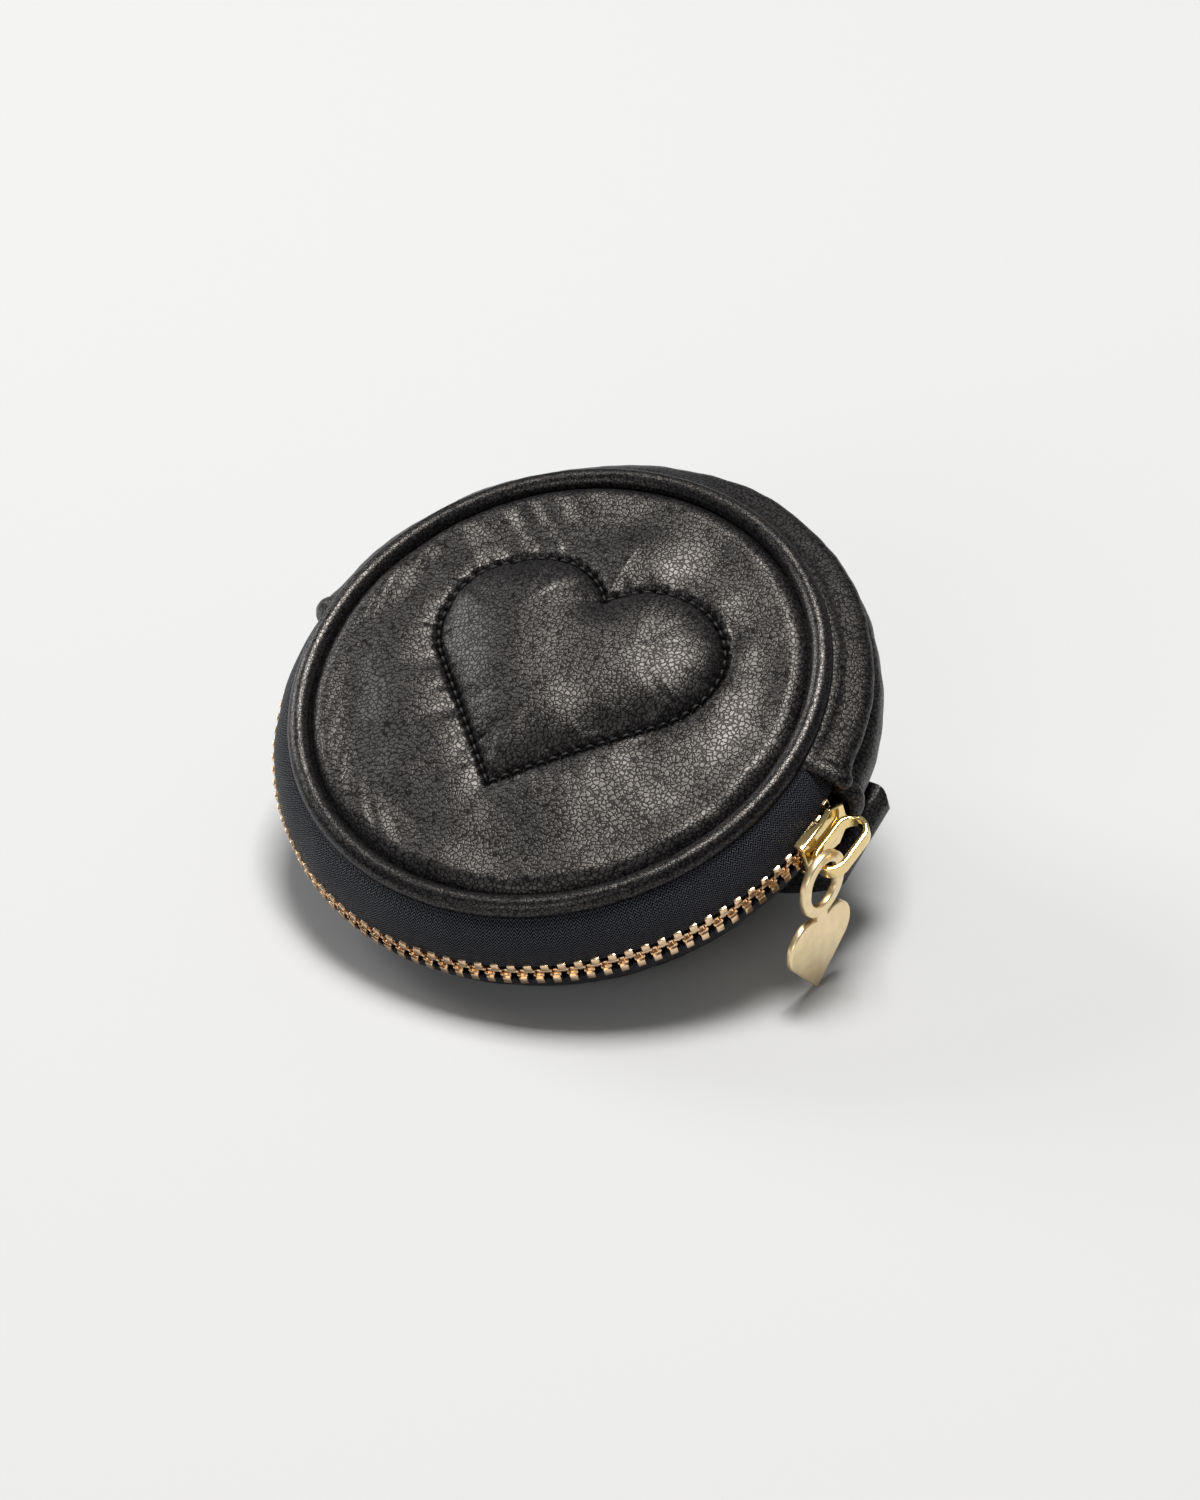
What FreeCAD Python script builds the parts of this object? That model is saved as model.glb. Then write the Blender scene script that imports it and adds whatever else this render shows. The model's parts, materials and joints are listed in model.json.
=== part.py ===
"""Round coin purse: quilted front, plain back, a gusset over half of its rim and a zipper round the other.

The purse's own frame has x along the back strap, y up the face away from the zipper and z out of the front.
Everything is built in that frame and then leaned back together, so that the purse stands on its strap
and on the back piping, with the middle of the bottom of its box at the origin.
"""
import FreeCAD, Part
import Sketcher
import os
from math import asin, atan, atan2, ceil, cos, degrees, hypot, pi, radians, sin, sqrt

V = FreeCAD.Vector
UP = V(0, 0, 1)

# name, size in millimetres or degrees, what it is
DIMENSIONS = [
    ("lean", 23, "degrees that the purse leans towards its zipper"),
    ("piping_ring", 44.6, "radius of the piping's centre line"),
    ("piping_girth", 1.9, "radius of the leather-covered piping"),
    ("cord_girth", 1.1, "radius of the cord inside the piping"),
    ("half_depth", 9.8, "height of each piping ring above the middle of the chain"),
    ("front_crown", 4.5, "rise of the front panel above its edge"),
    ("back_crown", 3.5, "rise of the back panel above its edge"),
    ("panel_skin", 1.1, "thickness of the panels' leather"),
    ("lining_sheet", 0.5, "thickness of the lining's fabric"),
    ("padding_inset", 4.56, "distance of the padding's edge inside the piping's centre line"),
    ("lining_height", 8.2, "height of the linings above the middle of the chain"),
    ("sewn_gap", 0.1, "gap left between two sewn pieces"),
    ("heart_lobe", 14.5, "radius of each lobe of the quilted heart"),
    ("heart_spread", 11.5, "distance of each lobe's centre from the middle"),
    ("heart_tip", 31, "distance from the lobes' centres to the heart's tip"),
    ("heart_rise", 0.9, "rise of the quilted heart above the panel"),
    ("stitch_pitch", 2.1, "distance from stitch to stitch"),
    ("stitch_girth", 0.25, "radius of the thread"),
    ("stitch_inset", 0.75, "distance of the stitches from the edge of the raised heart"),
    ("seam_allowance", 1.1, "width of the gusset's and tapes' edges that reach under the piping"),
    ("gusset_ring", 52, "outer radius of the gusset at its middle"),
    ("gusset_skin", 1.2, "thickness of the gusset's leather"),
    ("gusset_sheet", 0.4, "thickness of the gusset's lining"),
    ("mouth_end", 4.5, "degrees from the strap's line to each end of the zipper"),
    ("hood_reach", 2, "degrees that the folded edge of the gusset reaches over the zipper"),
    ("hood_tail", 5.5, "degrees that the folded edge runs back over the gusset"),
    ("hood_skin", 1.1, "thickness of the folded edge"),
    ("hood_sink", 0.3, "depth of the folded edge's inner face inside the gusset's outer face"),
    ("hood_half", 6.2, "half the width of the folded edge"),
    ("chain_ring", 50.3, "radius of the zipper chain"),
    ("tape_sheet", 0.6, "thickness of the zipper tape"),
    ("tape_clear", 0.25, "degrees left free between the ends of the tapes and of the gusset"),
    ("tape_inset", 1.7, "distance from the middle of the chain to the tape's edge"),
    ("tooth_pitch", 2.75, "distance from tooth to tooth in a row"),
    ("tooth_length", 1.3, "size of a tooth along the chain"),
    ("tooth_height", 2, "size of a tooth through the chain"),
    ("stop_height", 1.6, "size of each stop through the chain"),
    ("tooth_outer", 2.6, "distance from the middle of the chain to a tooth's outer end"),
    ("tooth_inner", 0.55, "distance from the middle of the chain to a tooth's shoulder"),
    ("nose_reach", 0.6, "reach of a tooth's nose past the middle of the chain"),
    ("nose_length", 0.9, "size of the nose along the chain"),
    ("nose_height", 1.3, "size of the nose through the chain"),
    ("open_gap", 1.4, "distance that each row of teeth is spread at the slider's wide nose"),
    ("slider_place", 6, "degrees from the strap's line to the middle of the closed slider"),
    ("slider_sink", 0.1, "distance of the slider's middle inside the chain's ring, as the chain curves"),
    ("slider_length", 11.5, "length of the slider"),
    ("nose_width", 9.4, "width of the slider's wide end"),
    ("tail_width", 7.6, "width of the slider's narrow end"),
    ("plate", 1, "thickness of each slider plate"),
    ("slider_bore", 3.2, "space between the slider's plates"),
    ("inner_width", 6, "width of the slider's inner plate"),
    ("flange", 1.1, "depth of the slider's side flanges"),
    ("flange_wall", 0.7, "thickness of the slider's side flanges"),
    ("post_width", 0.8, "width of the post that joins the plates"),
    ("post_length", 1.4, "length of the post that joins the plates"),
    ("post_inset", 1.26, "distance from the slider's wide end to the post"),
    ("bridge_length", 11.8, "length of the slider's bridge, a closed loop that stands on the outer plate"),
    ("bridge_rise", 6.1, "height of the bridge over the slider's plate"),
    ("bridge_width", 2.5, "size of the bridge across the chain"),
    ("bridge_wall", 0.9, "thickness of the bridge's strip"),
    ("bridge_shift", 0.1, "distance of the bridge's middle towards the slider's narrow end"),
    ("ring_width", 11.2, "width of the charm's ring"),
    ("ring_height", 12, "height of the charm's ring"),
    ("ring_band", 1.9, "width of the ring's band"),
    ("charm_plate", 1.3, "thickness of the charm and its ring"),
    ("charm_lobe", 4.6, "radius of each lobe of the charm"),
    ("charm_spread", 3.7, "distance of each lobe's centre from the charm's middle"),
    ("charm_tip", 10.3, "distance from the lobes' centres to the charm's tip"),
    ("neck_width", 3, "width of the neck between ring and charm"),
    ("charm_play", 0.2, "clearance of the bridge's strip inside the top of the charm's ring"),
    ("strap_width", 18, "width of the back strap"),
    ("strap_shift", 3.5, "distance of the strap's middle from the centre of the purse"),
    ("strap_skin", 1, "thickness of each of the strap's two layers"),
    ("strap_reach", 53.4, "distance from the centre to the strap's folded ends"),
    ("strap_root", 4.5, "length of the strap's sewn end inside the piping's centre line"),
    ("strap_fold", 1.9, "radius of the fold at the strap's ends"),
    ("strap_seat", 10, "depth below the chain at which the strap leaves the seam"),
    ("strap_flat", 28, "length of the strap's flat middle"),
    ("strap_corner", 2.5, "radius at the strap's corners"),
]

doc = FreeCAD.newDocument("CoinPurse")
sheet = doc.addObject("Spreadsheet::Sheet", "Sizes")
for row, (alias, value, meaning) in enumerate(DIMENSIONS, start=1):
    sheet.set("A%d" % row, alias)
    sheet.set("B%d" % row, str(value))
    sheet.set("C%d" % row, meaning)
    sheet.setAlias("B%d" % row, alias)
doc.recompute()

pieces = []


def size(alias):
    """The sheet's value of one driving dimension."""
    return float(sheet.get(alias))


def value(expression):
    """What an expression over the sheet's cells comes to now."""
    return float(sheet.evalExpression(expression))


def cell(alias):
    """The expression that names one cell."""
    return "Sizes." + alias


def keep(thing, label, place=None):
    """Make an object one of the purse's named sub-parts, at its place in the purse's own frame."""
    thing.Label = label
    pieces.append((thing, place or FreeCAD.Placement()))
    return thing


def bind(thing, **expressions):
    """Tie an object's properties to expressions over the sheet's cells."""
    for prop, expression in expressions.items():
        thing.setExpression(prop.replace("__", "."), expression)
    return thing


# ---------------------------------------------------------------- primitives

def lifted(height):
    """The place at a height above the middle of the chain."""
    return FreeCAD.Placement(UP * value(height), FreeCAD.Rotation())


def cylinder(name, radius, height, base=None, angle="360", start=None):
    """A cylinder, or a sector of one, standing on the height base."""
    thing = doc.addObject("Part::Cylinder", name)
    bind(thing, Radius=radius, Height=height, Angle=angle)
    if base:
        bind(thing, Placement__Base__z=base)
    if start:
        thing.Placement.Rotation = FreeCAD.Rotation(UP, 1)
        bind(thing, Placement__Rotation__Angle=start)
    return thing


def torus(name, ring, girth, height=None):
    """A torus round the purse's axis."""
    thing = doc.addObject("Part::Torus", name)
    bind(thing, Radius1=ring, Radius2=girth)
    if height:
        bind(thing, Placement__Base__z=height)
    return thing


def sphere(name, radius, centre):
    """A sphere centred on the purse's axis."""
    thing = doc.addObject("Part::Sphere", name)
    return bind(thing, Radius=radius, Placement__Base__z=centre)


def block(name, length, width, height, x="0", y="0", z="0"):
    """A box with its lowest corner at x, y, z."""
    thing = doc.addObject("Part::Box", name)
    bind(thing, Length=length, Width=width, Height=height)
    return bind(thing, Placement__Base__x=x, Placement__Base__y=y, Placement__Base__z=z)


def cut(name, base, tool):
    thing = doc.addObject("Part::Cut", name)
    thing.Base = base
    thing.Tool = tool
    return thing


def common(name, *shapes):
    thing = doc.addObject("Part::MultiCommon", name)
    thing.Shapes = list(shapes)
    return thing


def fuse(name, *shapes):
    thing = doc.addObject("Part::MultiFuse", name)
    thing.Shapes = list(shapes)
    return thing


def feature(name, shape):
    """An object whose shape is worked out here from the sheet's values."""
    thing = doc.addObject("Part::Feature", name)
    thing.Shape = shape
    return thing


def body_pad(name, draw, length, plane="XY_Plane"):
    """A PartDesign body: one sketch drawn by draw(), padded both ways from its plane."""
    body = doc.addObject("PartDesign::Body", name)
    sketch = body.newObject("Sketcher::SketchObject", name + "_outline")
    origin = [f for f in body.Origin.OriginFeatures if f.Role == plane]
    sketch.AttachmentSupport = [(origin[0], "")]
    sketch.MapMode = "FlatFace"
    draw(sketch)
    pad = body.newObject("PartDesign::Pad", name + "_pad")
    pad.Profile = sketch
    pad.Midplane = True
    bind(pad, Length=length)
    doc.recompute()
    return body


# ---------------------------------------------------------------- sketched outlines

def constrain(sketch, name, constraint, expression):
    """Add a dimension to a sketch under a name of its own and tie it to an expression."""
    index = sketch.addConstraint(constraint)
    sketch.renameConstraint(index, name)
    sketch.setExpression("Constraints." + name, expression)


def draw_stadium(sketch, name, half_length, radius):
    """A closed stadium about the sketch's origin, its long axis along the sketch's x."""
    half, r = value(half_length), value(radius)
    right = sketch.addGeometry(Part.ArcOfCircle(Part.Circle(V(half, 0, 0), UP, r), -pi / 2, pi / 2))
    top = sketch.addGeometry(Part.LineSegment(V(half, r, 0), V(-half, r, 0)))
    left = sketch.addGeometry(Part.ArcOfCircle(Part.Circle(V(-half, 0, 0), UP, r), pi / 2, 3 * pi / 2))
    foot = sketch.addGeometry(Part.LineSegment(V(-half, -r, 0), V(half, -r, 0)))
    for a, b in ((right, top), (top, left), (left, foot), (foot, right)):
        sketch.addConstraint(Sketcher.Constraint("Tangent", a, 2, b, 1))
    sketch.addConstraint(Sketcher.Constraint("Symmetric", right, 3, left, 3, -1, 1))
    sketch.addConstraint(Sketcher.Constraint("PointOnObject", right, 3, -1))
    constrain(sketch, name + "_radius", Sketcher.Constraint("Radius", right, r), radius)
    constrain(sketch, name + "_half", Sketcher.Constraint("DistanceX", -1, 1, right, 3, half), half_length)


def draw_heart(sketch, name, lobe, spread, tip):
    """A plain heart: two equal arcs on the sketch's x axis, and two straight sides down to its tip."""
    r, c, d = (value(e) for e in (lobe, spread, tip))
    lean_in = asin(r / hypot(c, d)) + atan2(c, d)
    notch = atan2(sqrt(r * r - c * c), -c)
    touch = V(c + r * cos(lean_in), -r * sin(lean_in), 0)
    circle = Part.Circle(V(c, 0, 0), UP, r)
    right = sketch.addGeometry(Part.ArcOfCircle(circle, -lean_in, notch))
    circle = Part.Circle(V(-c, 0, 0), UP, r)
    left = sketch.addGeometry(Part.ArcOfCircle(circle, pi - notch, pi + lean_in))
    side = sketch.addGeometry(Part.LineSegment(V(-touch.x, touch.y, 0), V(0, -d, 0)))
    edge = sketch.addGeometry(Part.LineSegment(V(0, -d, 0), touch))
    sketch.addConstraint(Sketcher.Constraint("Coincident", right, 2, left, 1))
    sketch.addConstraint(Sketcher.Constraint("Tangent", left, 2, side, 1))
    sketch.addConstraint(Sketcher.Constraint("Coincident", side, 2, edge, 1))
    sketch.addConstraint(Sketcher.Constraint("Tangent", edge, 2, right, 1))
    sketch.addConstraint(Sketcher.Constraint("PointOnObject", edge, 1, -2))
    sketch.addConstraint(Sketcher.Constraint("PointOnObject", right, 3, -1))
    sketch.addConstraint(Sketcher.Constraint("Symmetric", right, 3, left, 3, -1, 1))
    sketch.addConstraint(Sketcher.Constraint("Equal", right, left))
    constrain(sketch, name + "_lobe", Sketcher.Constraint("Radius", right, r), lobe)
    constrain(sketch, name + "_spread", Sketcher.Constraint("DistanceX", -1, 1, right, 3, c), spread)
    constrain(sketch, name + "_tip", Sketcher.Constraint("DistanceY", edge, 1, -1, 1, d), tip)


# ---------------------------------------------------------------- panels, padding and linings

PANEL_RADIUS = "(Sizes.piping_ring - Sizes.piping_girth - Sizes.sewn_gap)"
PADDING_RADIUS = "(Sizes.piping_ring - Sizes.padding_inset)"


def crowned_face(side, crown, name):
    """One face: its padding and lining are kept here, its panel is returned; side is 1 at the front."""
    rise = cell(crown)
    radius = "((%s^2 + %s^2) / (2 * %s))" % (PANEL_RADIUS, rise, rise)
    centre = "(%d * (Sizes.half_depth + %s - %s))" % (side, rise, radius)
    floor = "(Sizes.half_depth - Sizes.panel_skin)"
    reach = "(2 * (Sizes.panel_skin + %s))" % rise
    base = floor if side > 0 else "(-%s - %s)" % (floor, reach)
    disc = cylinder(name + "_disc", PANEL_RADIUS, reach, base)
    outside = sphere(name + "_outside", radius, centre)
    inside = sphere(name + "_inside", radius + " - Sizes.panel_skin", centre)
    panel = cut(name + "_shell", common(name + "_lens", disc, outside), inside)
    seat = "(Sizes.lining_height + Sizes.lining_sheet + Sizes.sewn_gap)"
    base = seat if side > 0 else "(-%s - %s)" % (seat, reach)
    core = cylinder(name + "_core", PADDING_RADIUS, reach, base)
    under = sphere(name + "_under", radius + " - Sizes.panel_skin - Sizes.sewn_gap", centre)
    padding = common(name + "_pad", core, under)
    keep(padding, name + "_padding")
    base = cell("lining_height") if side > 0 else "-Sizes.lining_height - Sizes.lining_sheet"
    lining = cylinder(name + "_sheet", PANEL_RADIUS, cell("lining_sheet"))
    keep(lining, name + "_lining", lifted(base))
    return panel, radius, centre


def heart_outline():
    """The quilted heart, its tip towards the zipper, as a sketch at the middle of the chain."""
    sketch = doc.addObject("Sketcher::SketchObject", "heart_outline")
    draw_heart(sketch, "quilt", cell("heart_lobe"), cell("heart_spread"), cell("heart_tip"))
    bind(sketch, Placement__Base__y="Sizes.heart_tip / 2 - Sizes.heart_lobe / 2")
    doc.recompute()
    return sketch


front, face_radius, face_centre = crowned_face(1, "front_crown", "front")
heart = heart_outline()
prism = doc.addObject("Part::Extrusion", "heart_prism")
bind(prism, LengthFwd="Sizes.half_depth + Sizes.front_crown + 2 * Sizes.heart_rise")
prism.Base = heart
prism.DirMode = "Custom"
prism.Dir = UP
prism.Solid = True
raised = sphere("heart_top", face_radius + " + Sizes.heart_rise", face_centre)
sunk = sphere("heart_foot", face_radius + " - Sizes.panel_skin", face_centre)
heart_pad = cut("heart_pad", common("heart_block", prism, raised), sunk)
keep(fuse("front_face", front, heart_pad), "front_panel")
back, _, _ = crowned_face(-1, "back_crown", "back")
keep(back, "back_panel")


STITCH_SHARE = 0.72  # share of each pitch that the thread covers


def quilt_stitches():
    """Single stitches laid on the panel round the raised heart."""
    girth = size("stitch_girth")
    radius, centre = value(face_radius), value(face_centre)
    seam = heart.Shape.Wires[0].makeOffset2D(size("stitch_inset"))
    count = ceil(seam.Length / size("stitch_pitch"))
    lift = girth + size("sewn_gap") / 2
    corners = []
    for point in seam.discretize(Number=count + 1)[:-1]:
        height = centre + sqrt((radius + lift) ** 2 - point.x**2 - point.y**2)
        corners.append(V(point.x, point.y, height))
    stitches = []
    for here, there in zip(corners, corners[1:] + corners[:1]):
        run = there - here
        start = here + run * (1 - STITCH_SHARE) / 2
        stitches.append(Part.makeCylinder(girth, run.Length * STITCH_SHARE, start, run))
    return Part.makeCompound(stitches)


keep(feature("heart_stitches", quilt_stitches()), "quilt_stitching")


# ---------------------------------------------------------------- piping

def piping(side, name):
    """A leather tube round the edge of one face, and the cord that fills it."""
    height = "%d * Sizes.half_depth" % side
    ring = cell("piping_ring")
    skin = torus(name + "_skin", ring, cell("piping_girth"), height)
    hollow = torus(name + "_hollow", ring, "Sizes.cord_girth + Sizes.sewn_gap / 2", height)
    keep(cut(name + "_tube", skin, hollow), name)
    keep(torus(name + "_core", ring, cell("cord_girth")), name + "_cord", lifted(height))


piping(1, "front_piping")
piping(-1, "back_piping")


# ---------------------------------------------------------------- gusset and zipper tapes

SEAM_HEIGHT = "(Sizes.half_depth - Sizes.piping_girth + 2 * Sizes.sewn_gap)"
SEAM_RADIUS = "(Sizes.piping_ring + Sizes.piping_girth + 2 * Sizes.sewn_gap)"
HALF_TURN = "(180 - 2 * Sizes.mouth_end)"
SPREAD_RAMP = 0.27  # share of the slider's length over which the rows of teeth part


def arc_girth(ring):
    """Radius of the arc from the piping out to ring and back, negative where ring lies inside the seam."""
    rise = "(%s - %s)" % (ring, SEAM_RADIUS)
    return "((%s^2 + %s^2) / (2 * %s))" % (SEAM_HEIGHT, rise, rise)


def bulge(ring, skin, name, sunk="0"):
    """A hollow ring that curves from the piping to ring, sunk below that by sunk and skin thick."""
    girth = arc_girth(ring)
    middle = "(%s - %s)" % (ring, girth)
    near = "abs(%s - %s)" % (girth, sunk)
    deep = "abs(%s - %s - %s)" % (girth, sunk, skin)
    larger = torus(name + "_larger", middle, "max(%s; %s)" % (near, deep))
    smaller = torus(name + "_smaller", middle, "min(%s; %s)" % (near, deep))
    return cut(name + "_bulge", larger, smaller)


def zone(name, low, high, angle, start, ring):
    """The space between two heights outside the seam and just inside ring, over a sector of the rim."""
    height = "(%s) - (%s)" % (high, low)
    outer = cylinder(name + "_zone", "Sizes.gusset_ring + Sizes.half_depth", height, low, angle, start)
    inner_radius = "min(%s; %s) - Sizes.seam_allowance" % (SEAM_RADIUS, ring)
    inner = cylinder(name + "_core", inner_radius, height, low)
    return cut(name + "_sector", outer, inner)


def hood(name, start):
    """The folded leather edge that covers one end of the zipper, laid over the gusset's bulge."""
    shell = bulge(cell("gusset_ring"), "(Sizes.hood_skin + Sizes.hood_sink)", name, "(-Sizes.hood_skin)")
    half = cell("hood_half")
    turn = "Sizes.hood_reach + Sizes.hood_tail"
    return common(name, shell, zone(name, "-" + half, half, turn, start, cell("gusset_ring")))


def spread_turn(angle):
    """Share of the full spread that the two rows of teeth have at one angle of the chain."""
    ramp = degrees(size("slider_length") * SPREAD_RAMP / size("chain_ring"))
    return min(1, max(0, (angle + size("slider_place")) / ramp))


def spread_wedge(name):
    """What the tapes' edges give way to where the rows part at the slider's nose."""
    inset, spread = size("tape_inset"), size("open_gap") + 2 * size("sewn_gap")
    lead = size("tooth_length") / 2 + size("sewn_gap")
    ramp = size("slider_length") * SPREAD_RAMP
    far = radians(size("slider_place") + 2 * size("mouth_end")) * size("chain_ring")
    deep = size("half_depth")
    corners = [V(-deep, -lead, -inset), V(-deep, ramp - lead, -inset - spread)]
    corners.append(V(-deep, far, -inset - spread))
    corners += [V(p.x, p.y, -p.z) for p in reversed(corners)]
    prism = Part.Face(Part.makePolygon(corners + corners[:1])).extrude(V(2 * deep, 0, 0))
    prism.translate(V(size("chain_ring"), 0, 0))
    prism.rotate(V(), UP, -size("slider_place"))
    return feature(name + "_tape_wedge", prism)


def rim():
    """Gusset with its folded ends, its lining, and the two zipper tapes."""
    seam = SEAM_HEIGHT
    start = cell("mouth_end")
    ring = cell("gusset_ring")
    skin = bulge(ring, cell("gusset_skin"), "gusset")
    wall = common("gusset_wall", skin, zone("gusset", "-" + seam, seam, HALF_TURN, start, ring))
    right = hood("right_hood", "Sizes.mouth_end - Sizes.hood_reach")
    left = hood("left_hood", "180 - Sizes.mouth_end - Sizes.hood_tail")
    keep(fuse("gusset_leather", wall, right, left), "gusset")

    inner_half = "(%s - Sizes.gusset_skin)" % seam
    sunk = "(Sizes.gusset_skin + Sizes.sewn_gap)"
    skin = bulge(ring, cell("gusset_sheet"), "gusset_sheet", sunk)
    area = zone("gusset_sheet", "-" + inner_half, inner_half, HALF_TURN, start, ring)
    keep(common("gusset_sheet_wall", skin, area), "gusset_lining")

    ring = "(Sizes.chain_ring + Sizes.tape_sheet / 2)"
    turn = "(180 + 2 * Sizes.mouth_end - 2 * Sizes.tape_clear)"
    start = "(180 - Sizes.mouth_end + Sizes.tape_clear)"
    inset = cell("tape_inset")
    for name, low, high in (("front", inset, seam), ("back", "-" + seam, "-" + inset)):
        tube = bulge(ring, cell("tape_sheet"), name + "_tape")
        band = common(name + "_tape_band", tube, zone(name + "_tape", low, high, turn, start, ring))
        keep(cut(name + "_tape_spread", band, spread_wedge(name)), "zipper_tape_" + name)


rim()


# ---------------------------------------------------------------- zipper chain

def tooth():
    """One tooth of the front row at the angle 0, its nose reaching over the middle of the chain."""
    height, ring = cell("tooth_height"), cell("chain_ring")
    shank = "Sizes.tooth_outer - Sizes.tooth_inner"
    low = ring + " - %s / 2" % height
    shank_block = block("tooth_shank", height, cell("tooth_length"), shank, low,
                        "-Sizes.tooth_length / 2", cell("tooth_inner"))
    nose_size = "Sizes.tooth_inner + Sizes.nose_reach"
    nose = block("tooth_nose", cell("nose_height"), cell("nose_length"), nose_size,
                 ring + " - Sizes.nose_height / 2", "-Sizes.nose_length / 2", "-Sizes.nose_reach")
    slot = block("tooth_slot", "2 * Sizes.tape_sheet", "2 * Sizes.tooth_length", shank,
                 ring + " + Sizes.sewn_gap - 1.5 * Sizes.tape_sheet", "-Sizes.tooth_length",
                 "Sizes.tape_inset - Sizes.sewn_gap")
    return cut("tooth", fuse("tooth_solid", shank_block, nose), slot)


front_tooth = tooth()
doc.recompute()
PITCH_TURN = degrees(size("tooth_pitch") / size("chain_ring"))
STOP_INSET = 0.4 * PITCH_TURN  # degrees from the zipper's end to its stop
LAST_GAP = 0.7 * PITCH_TURN  # least degrees from the last tooth to the top stop
END_STOP = -180 - size("mouth_end") + STOP_INSET
TOP_STOP = size("mouth_end") - STOP_INSET
FIRST_TOOTH = END_STOP + PITCH_TURN
FLIP = FreeCAD.Rotation(V(1, 0, 0), 180)


def on_chain(angle, side):
    """Place of a metal piece on the edge of one tape; side is 1 at the front and -1 at the back."""
    girth = value(arc_girth(cell("chain_ring")))
    spread = degrees(spread_turn(angle) * size("open_gap") / girth)
    turned = FreeCAD.Rotation() if side > 0 else FLIP
    hub = V(size("chain_ring") - girth, 0, 0)
    parted = FreeCAD.Placement(V(), FreeCAD.Rotation(V(0, 1, 0), -side * spread), hub)
    turn = FreeCAD.Placement(V(), FreeCAD.Rotation(UP, angle))
    return turn * parted * FreeCAD.Placement(V(), turned)


def tooth_row(side):
    """A row of teeth from the closed end to the hood; the back row sits half a pitch further on."""
    angle = FIRST_TOOTH if side > 0 else FIRST_TOOTH + PITCH_TURN / 2
    teeth = []
    while angle < TOP_STOP - LAST_GAP:
        copy = front_tooth.Shape.copy()
        copy.Placement = on_chain(angle, side)
        teeth.append(copy)
        angle += PITCH_TURN
    return Part.makeCompound(teeth)


keep(feature("front_row", tooth_row(1)), "zipper_teeth_front")
keep(feature("back_row", tooth_row(-1)), "zipper_teeth_back")


def stop_solid(low):
    """A small metal stop at the angle 0, clamped on the tape's edge, its inner end at height low."""
    tall, wide, ring = size("stop_height"), size("tooth_length"), size("chain_ring")
    solid = Part.makeBox(tall, wide, size("tooth_outer") - low, V(ring - tall / 2, -wide / 2, low))
    return solid.cut(doc.getObject("tooth_slot").Shape)


clamp = stop_solid(size("tooth_inner"))
for side, name in ((1, "front"), (-1, "back")):
    keep(feature(name + "_stop", clamp), "zipper_top_stop_" + name, on_chain(TOP_STOP, side))

half_stop = stop_solid(0)
other_half = half_stop.copy()
other_half.Placement = FreeCAD.Placement(V(), FLIP)
end_stop = feature("end_stop", half_stop.fuse(other_half).removeSplitter())
keep(end_stop, "zipper_bottom_stop", FreeCAD.Placement(V(), FreeCAD.Rotation(UP, END_STOP)))


# ---------------------------------------------------------------- slider, bridge and charm
# The slider's own frame has x outwards, y along the chain towards its wide nose, and z as the purse's.

NOSE_START = 0.45  # share of the slider's half length at which its nose is widest
NOSE_TIP = 0.55  # share of the nose's width that is left at its end


def plate_outline(sketch):
    """The slider's plate: wide and rounded at the nose, narrower at the tail."""
    half, nose, tail = size("slider_length") / 2, size("nose_width") / 2, size("tail_width") / 2
    corners = [V(-half, -tail, 0), V(0, -tail, 0)]
    corners += [V(half * NOSE_START, -nose, 0), V(half, -nose * NOSE_TIP, 0)]
    corners += [V(p.x, -p.y, 0) for p in reversed(corners)]
    edges = []
    for start, end in zip(corners, corners[1:] + corners[:1]):
        edges.append(sketch.addGeometry(Part.LineSegment(start, end)))
    for this, following in zip(edges, edges[1:] + edges[:1]):
        sketch.addConstraint(Sketcher.Constraint("Coincident", this, 2, following, 1))
    mirrored = ((0, 1, 6, 2), (0, 2, 6, 1), (1, 2, 5, 1), (2, 2, 4, 1))
    for a, a_end, b, b_end in mirrored:
        sketch.addConstraint(Sketcher.Constraint("Symmetric", a, a_end, b, b_end, -1))
    half_length = cell("slider_length") + " / 2"
    dims = (
        ("tail_x", "DistanceX", (0, 1, -1, 1), half, half_length),
        ("tail_y", "DistanceY", (0, 1, -1, 1), tail, "Sizes.tail_width / 2"),
        ("waist_x", "DistanceX", (0, 2, -1, 1), 0, None),
        ("waist_y", "DistanceY", (0, 2, -1, 1), tail, "Sizes.tail_width / 2"),
        ("nose_x", "DistanceX", (-1, 1, 1, 2), half * NOSE_START, half_length + " * %g" % NOSE_START),
        ("nose_y", "DistanceY", (1, 2, -1, 1), nose, "Sizes.nose_width / 2"),
        ("tip_x", "DistanceX", (-1, 1, 2, 2), half, half_length),
        ("tip_y", "DistanceY", (2, 2, -1, 1), nose * NOSE_TIP, "Sizes.nose_width / 2 * %g" % NOSE_TIP),
    )
    for name, kind, ends, amount, expression in dims:
        if expression is None:
            sketch.addConstraint(Sketcher.Constraint("PointOnObject", ends[0], ends[1], -2))
        else:
            constrain(sketch, name, Sketcher.Constraint(kind, *ends, amount), expression)


def on_slider():
    """The frame of the closed slider."""
    turn = FreeCAD.Rotation(UP, -size("slider_place"))
    return FreeCAD.Placement(turn.multVec(V(size("chain_ring") - size("slider_sink"), 0, 0)), turn)


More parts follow.
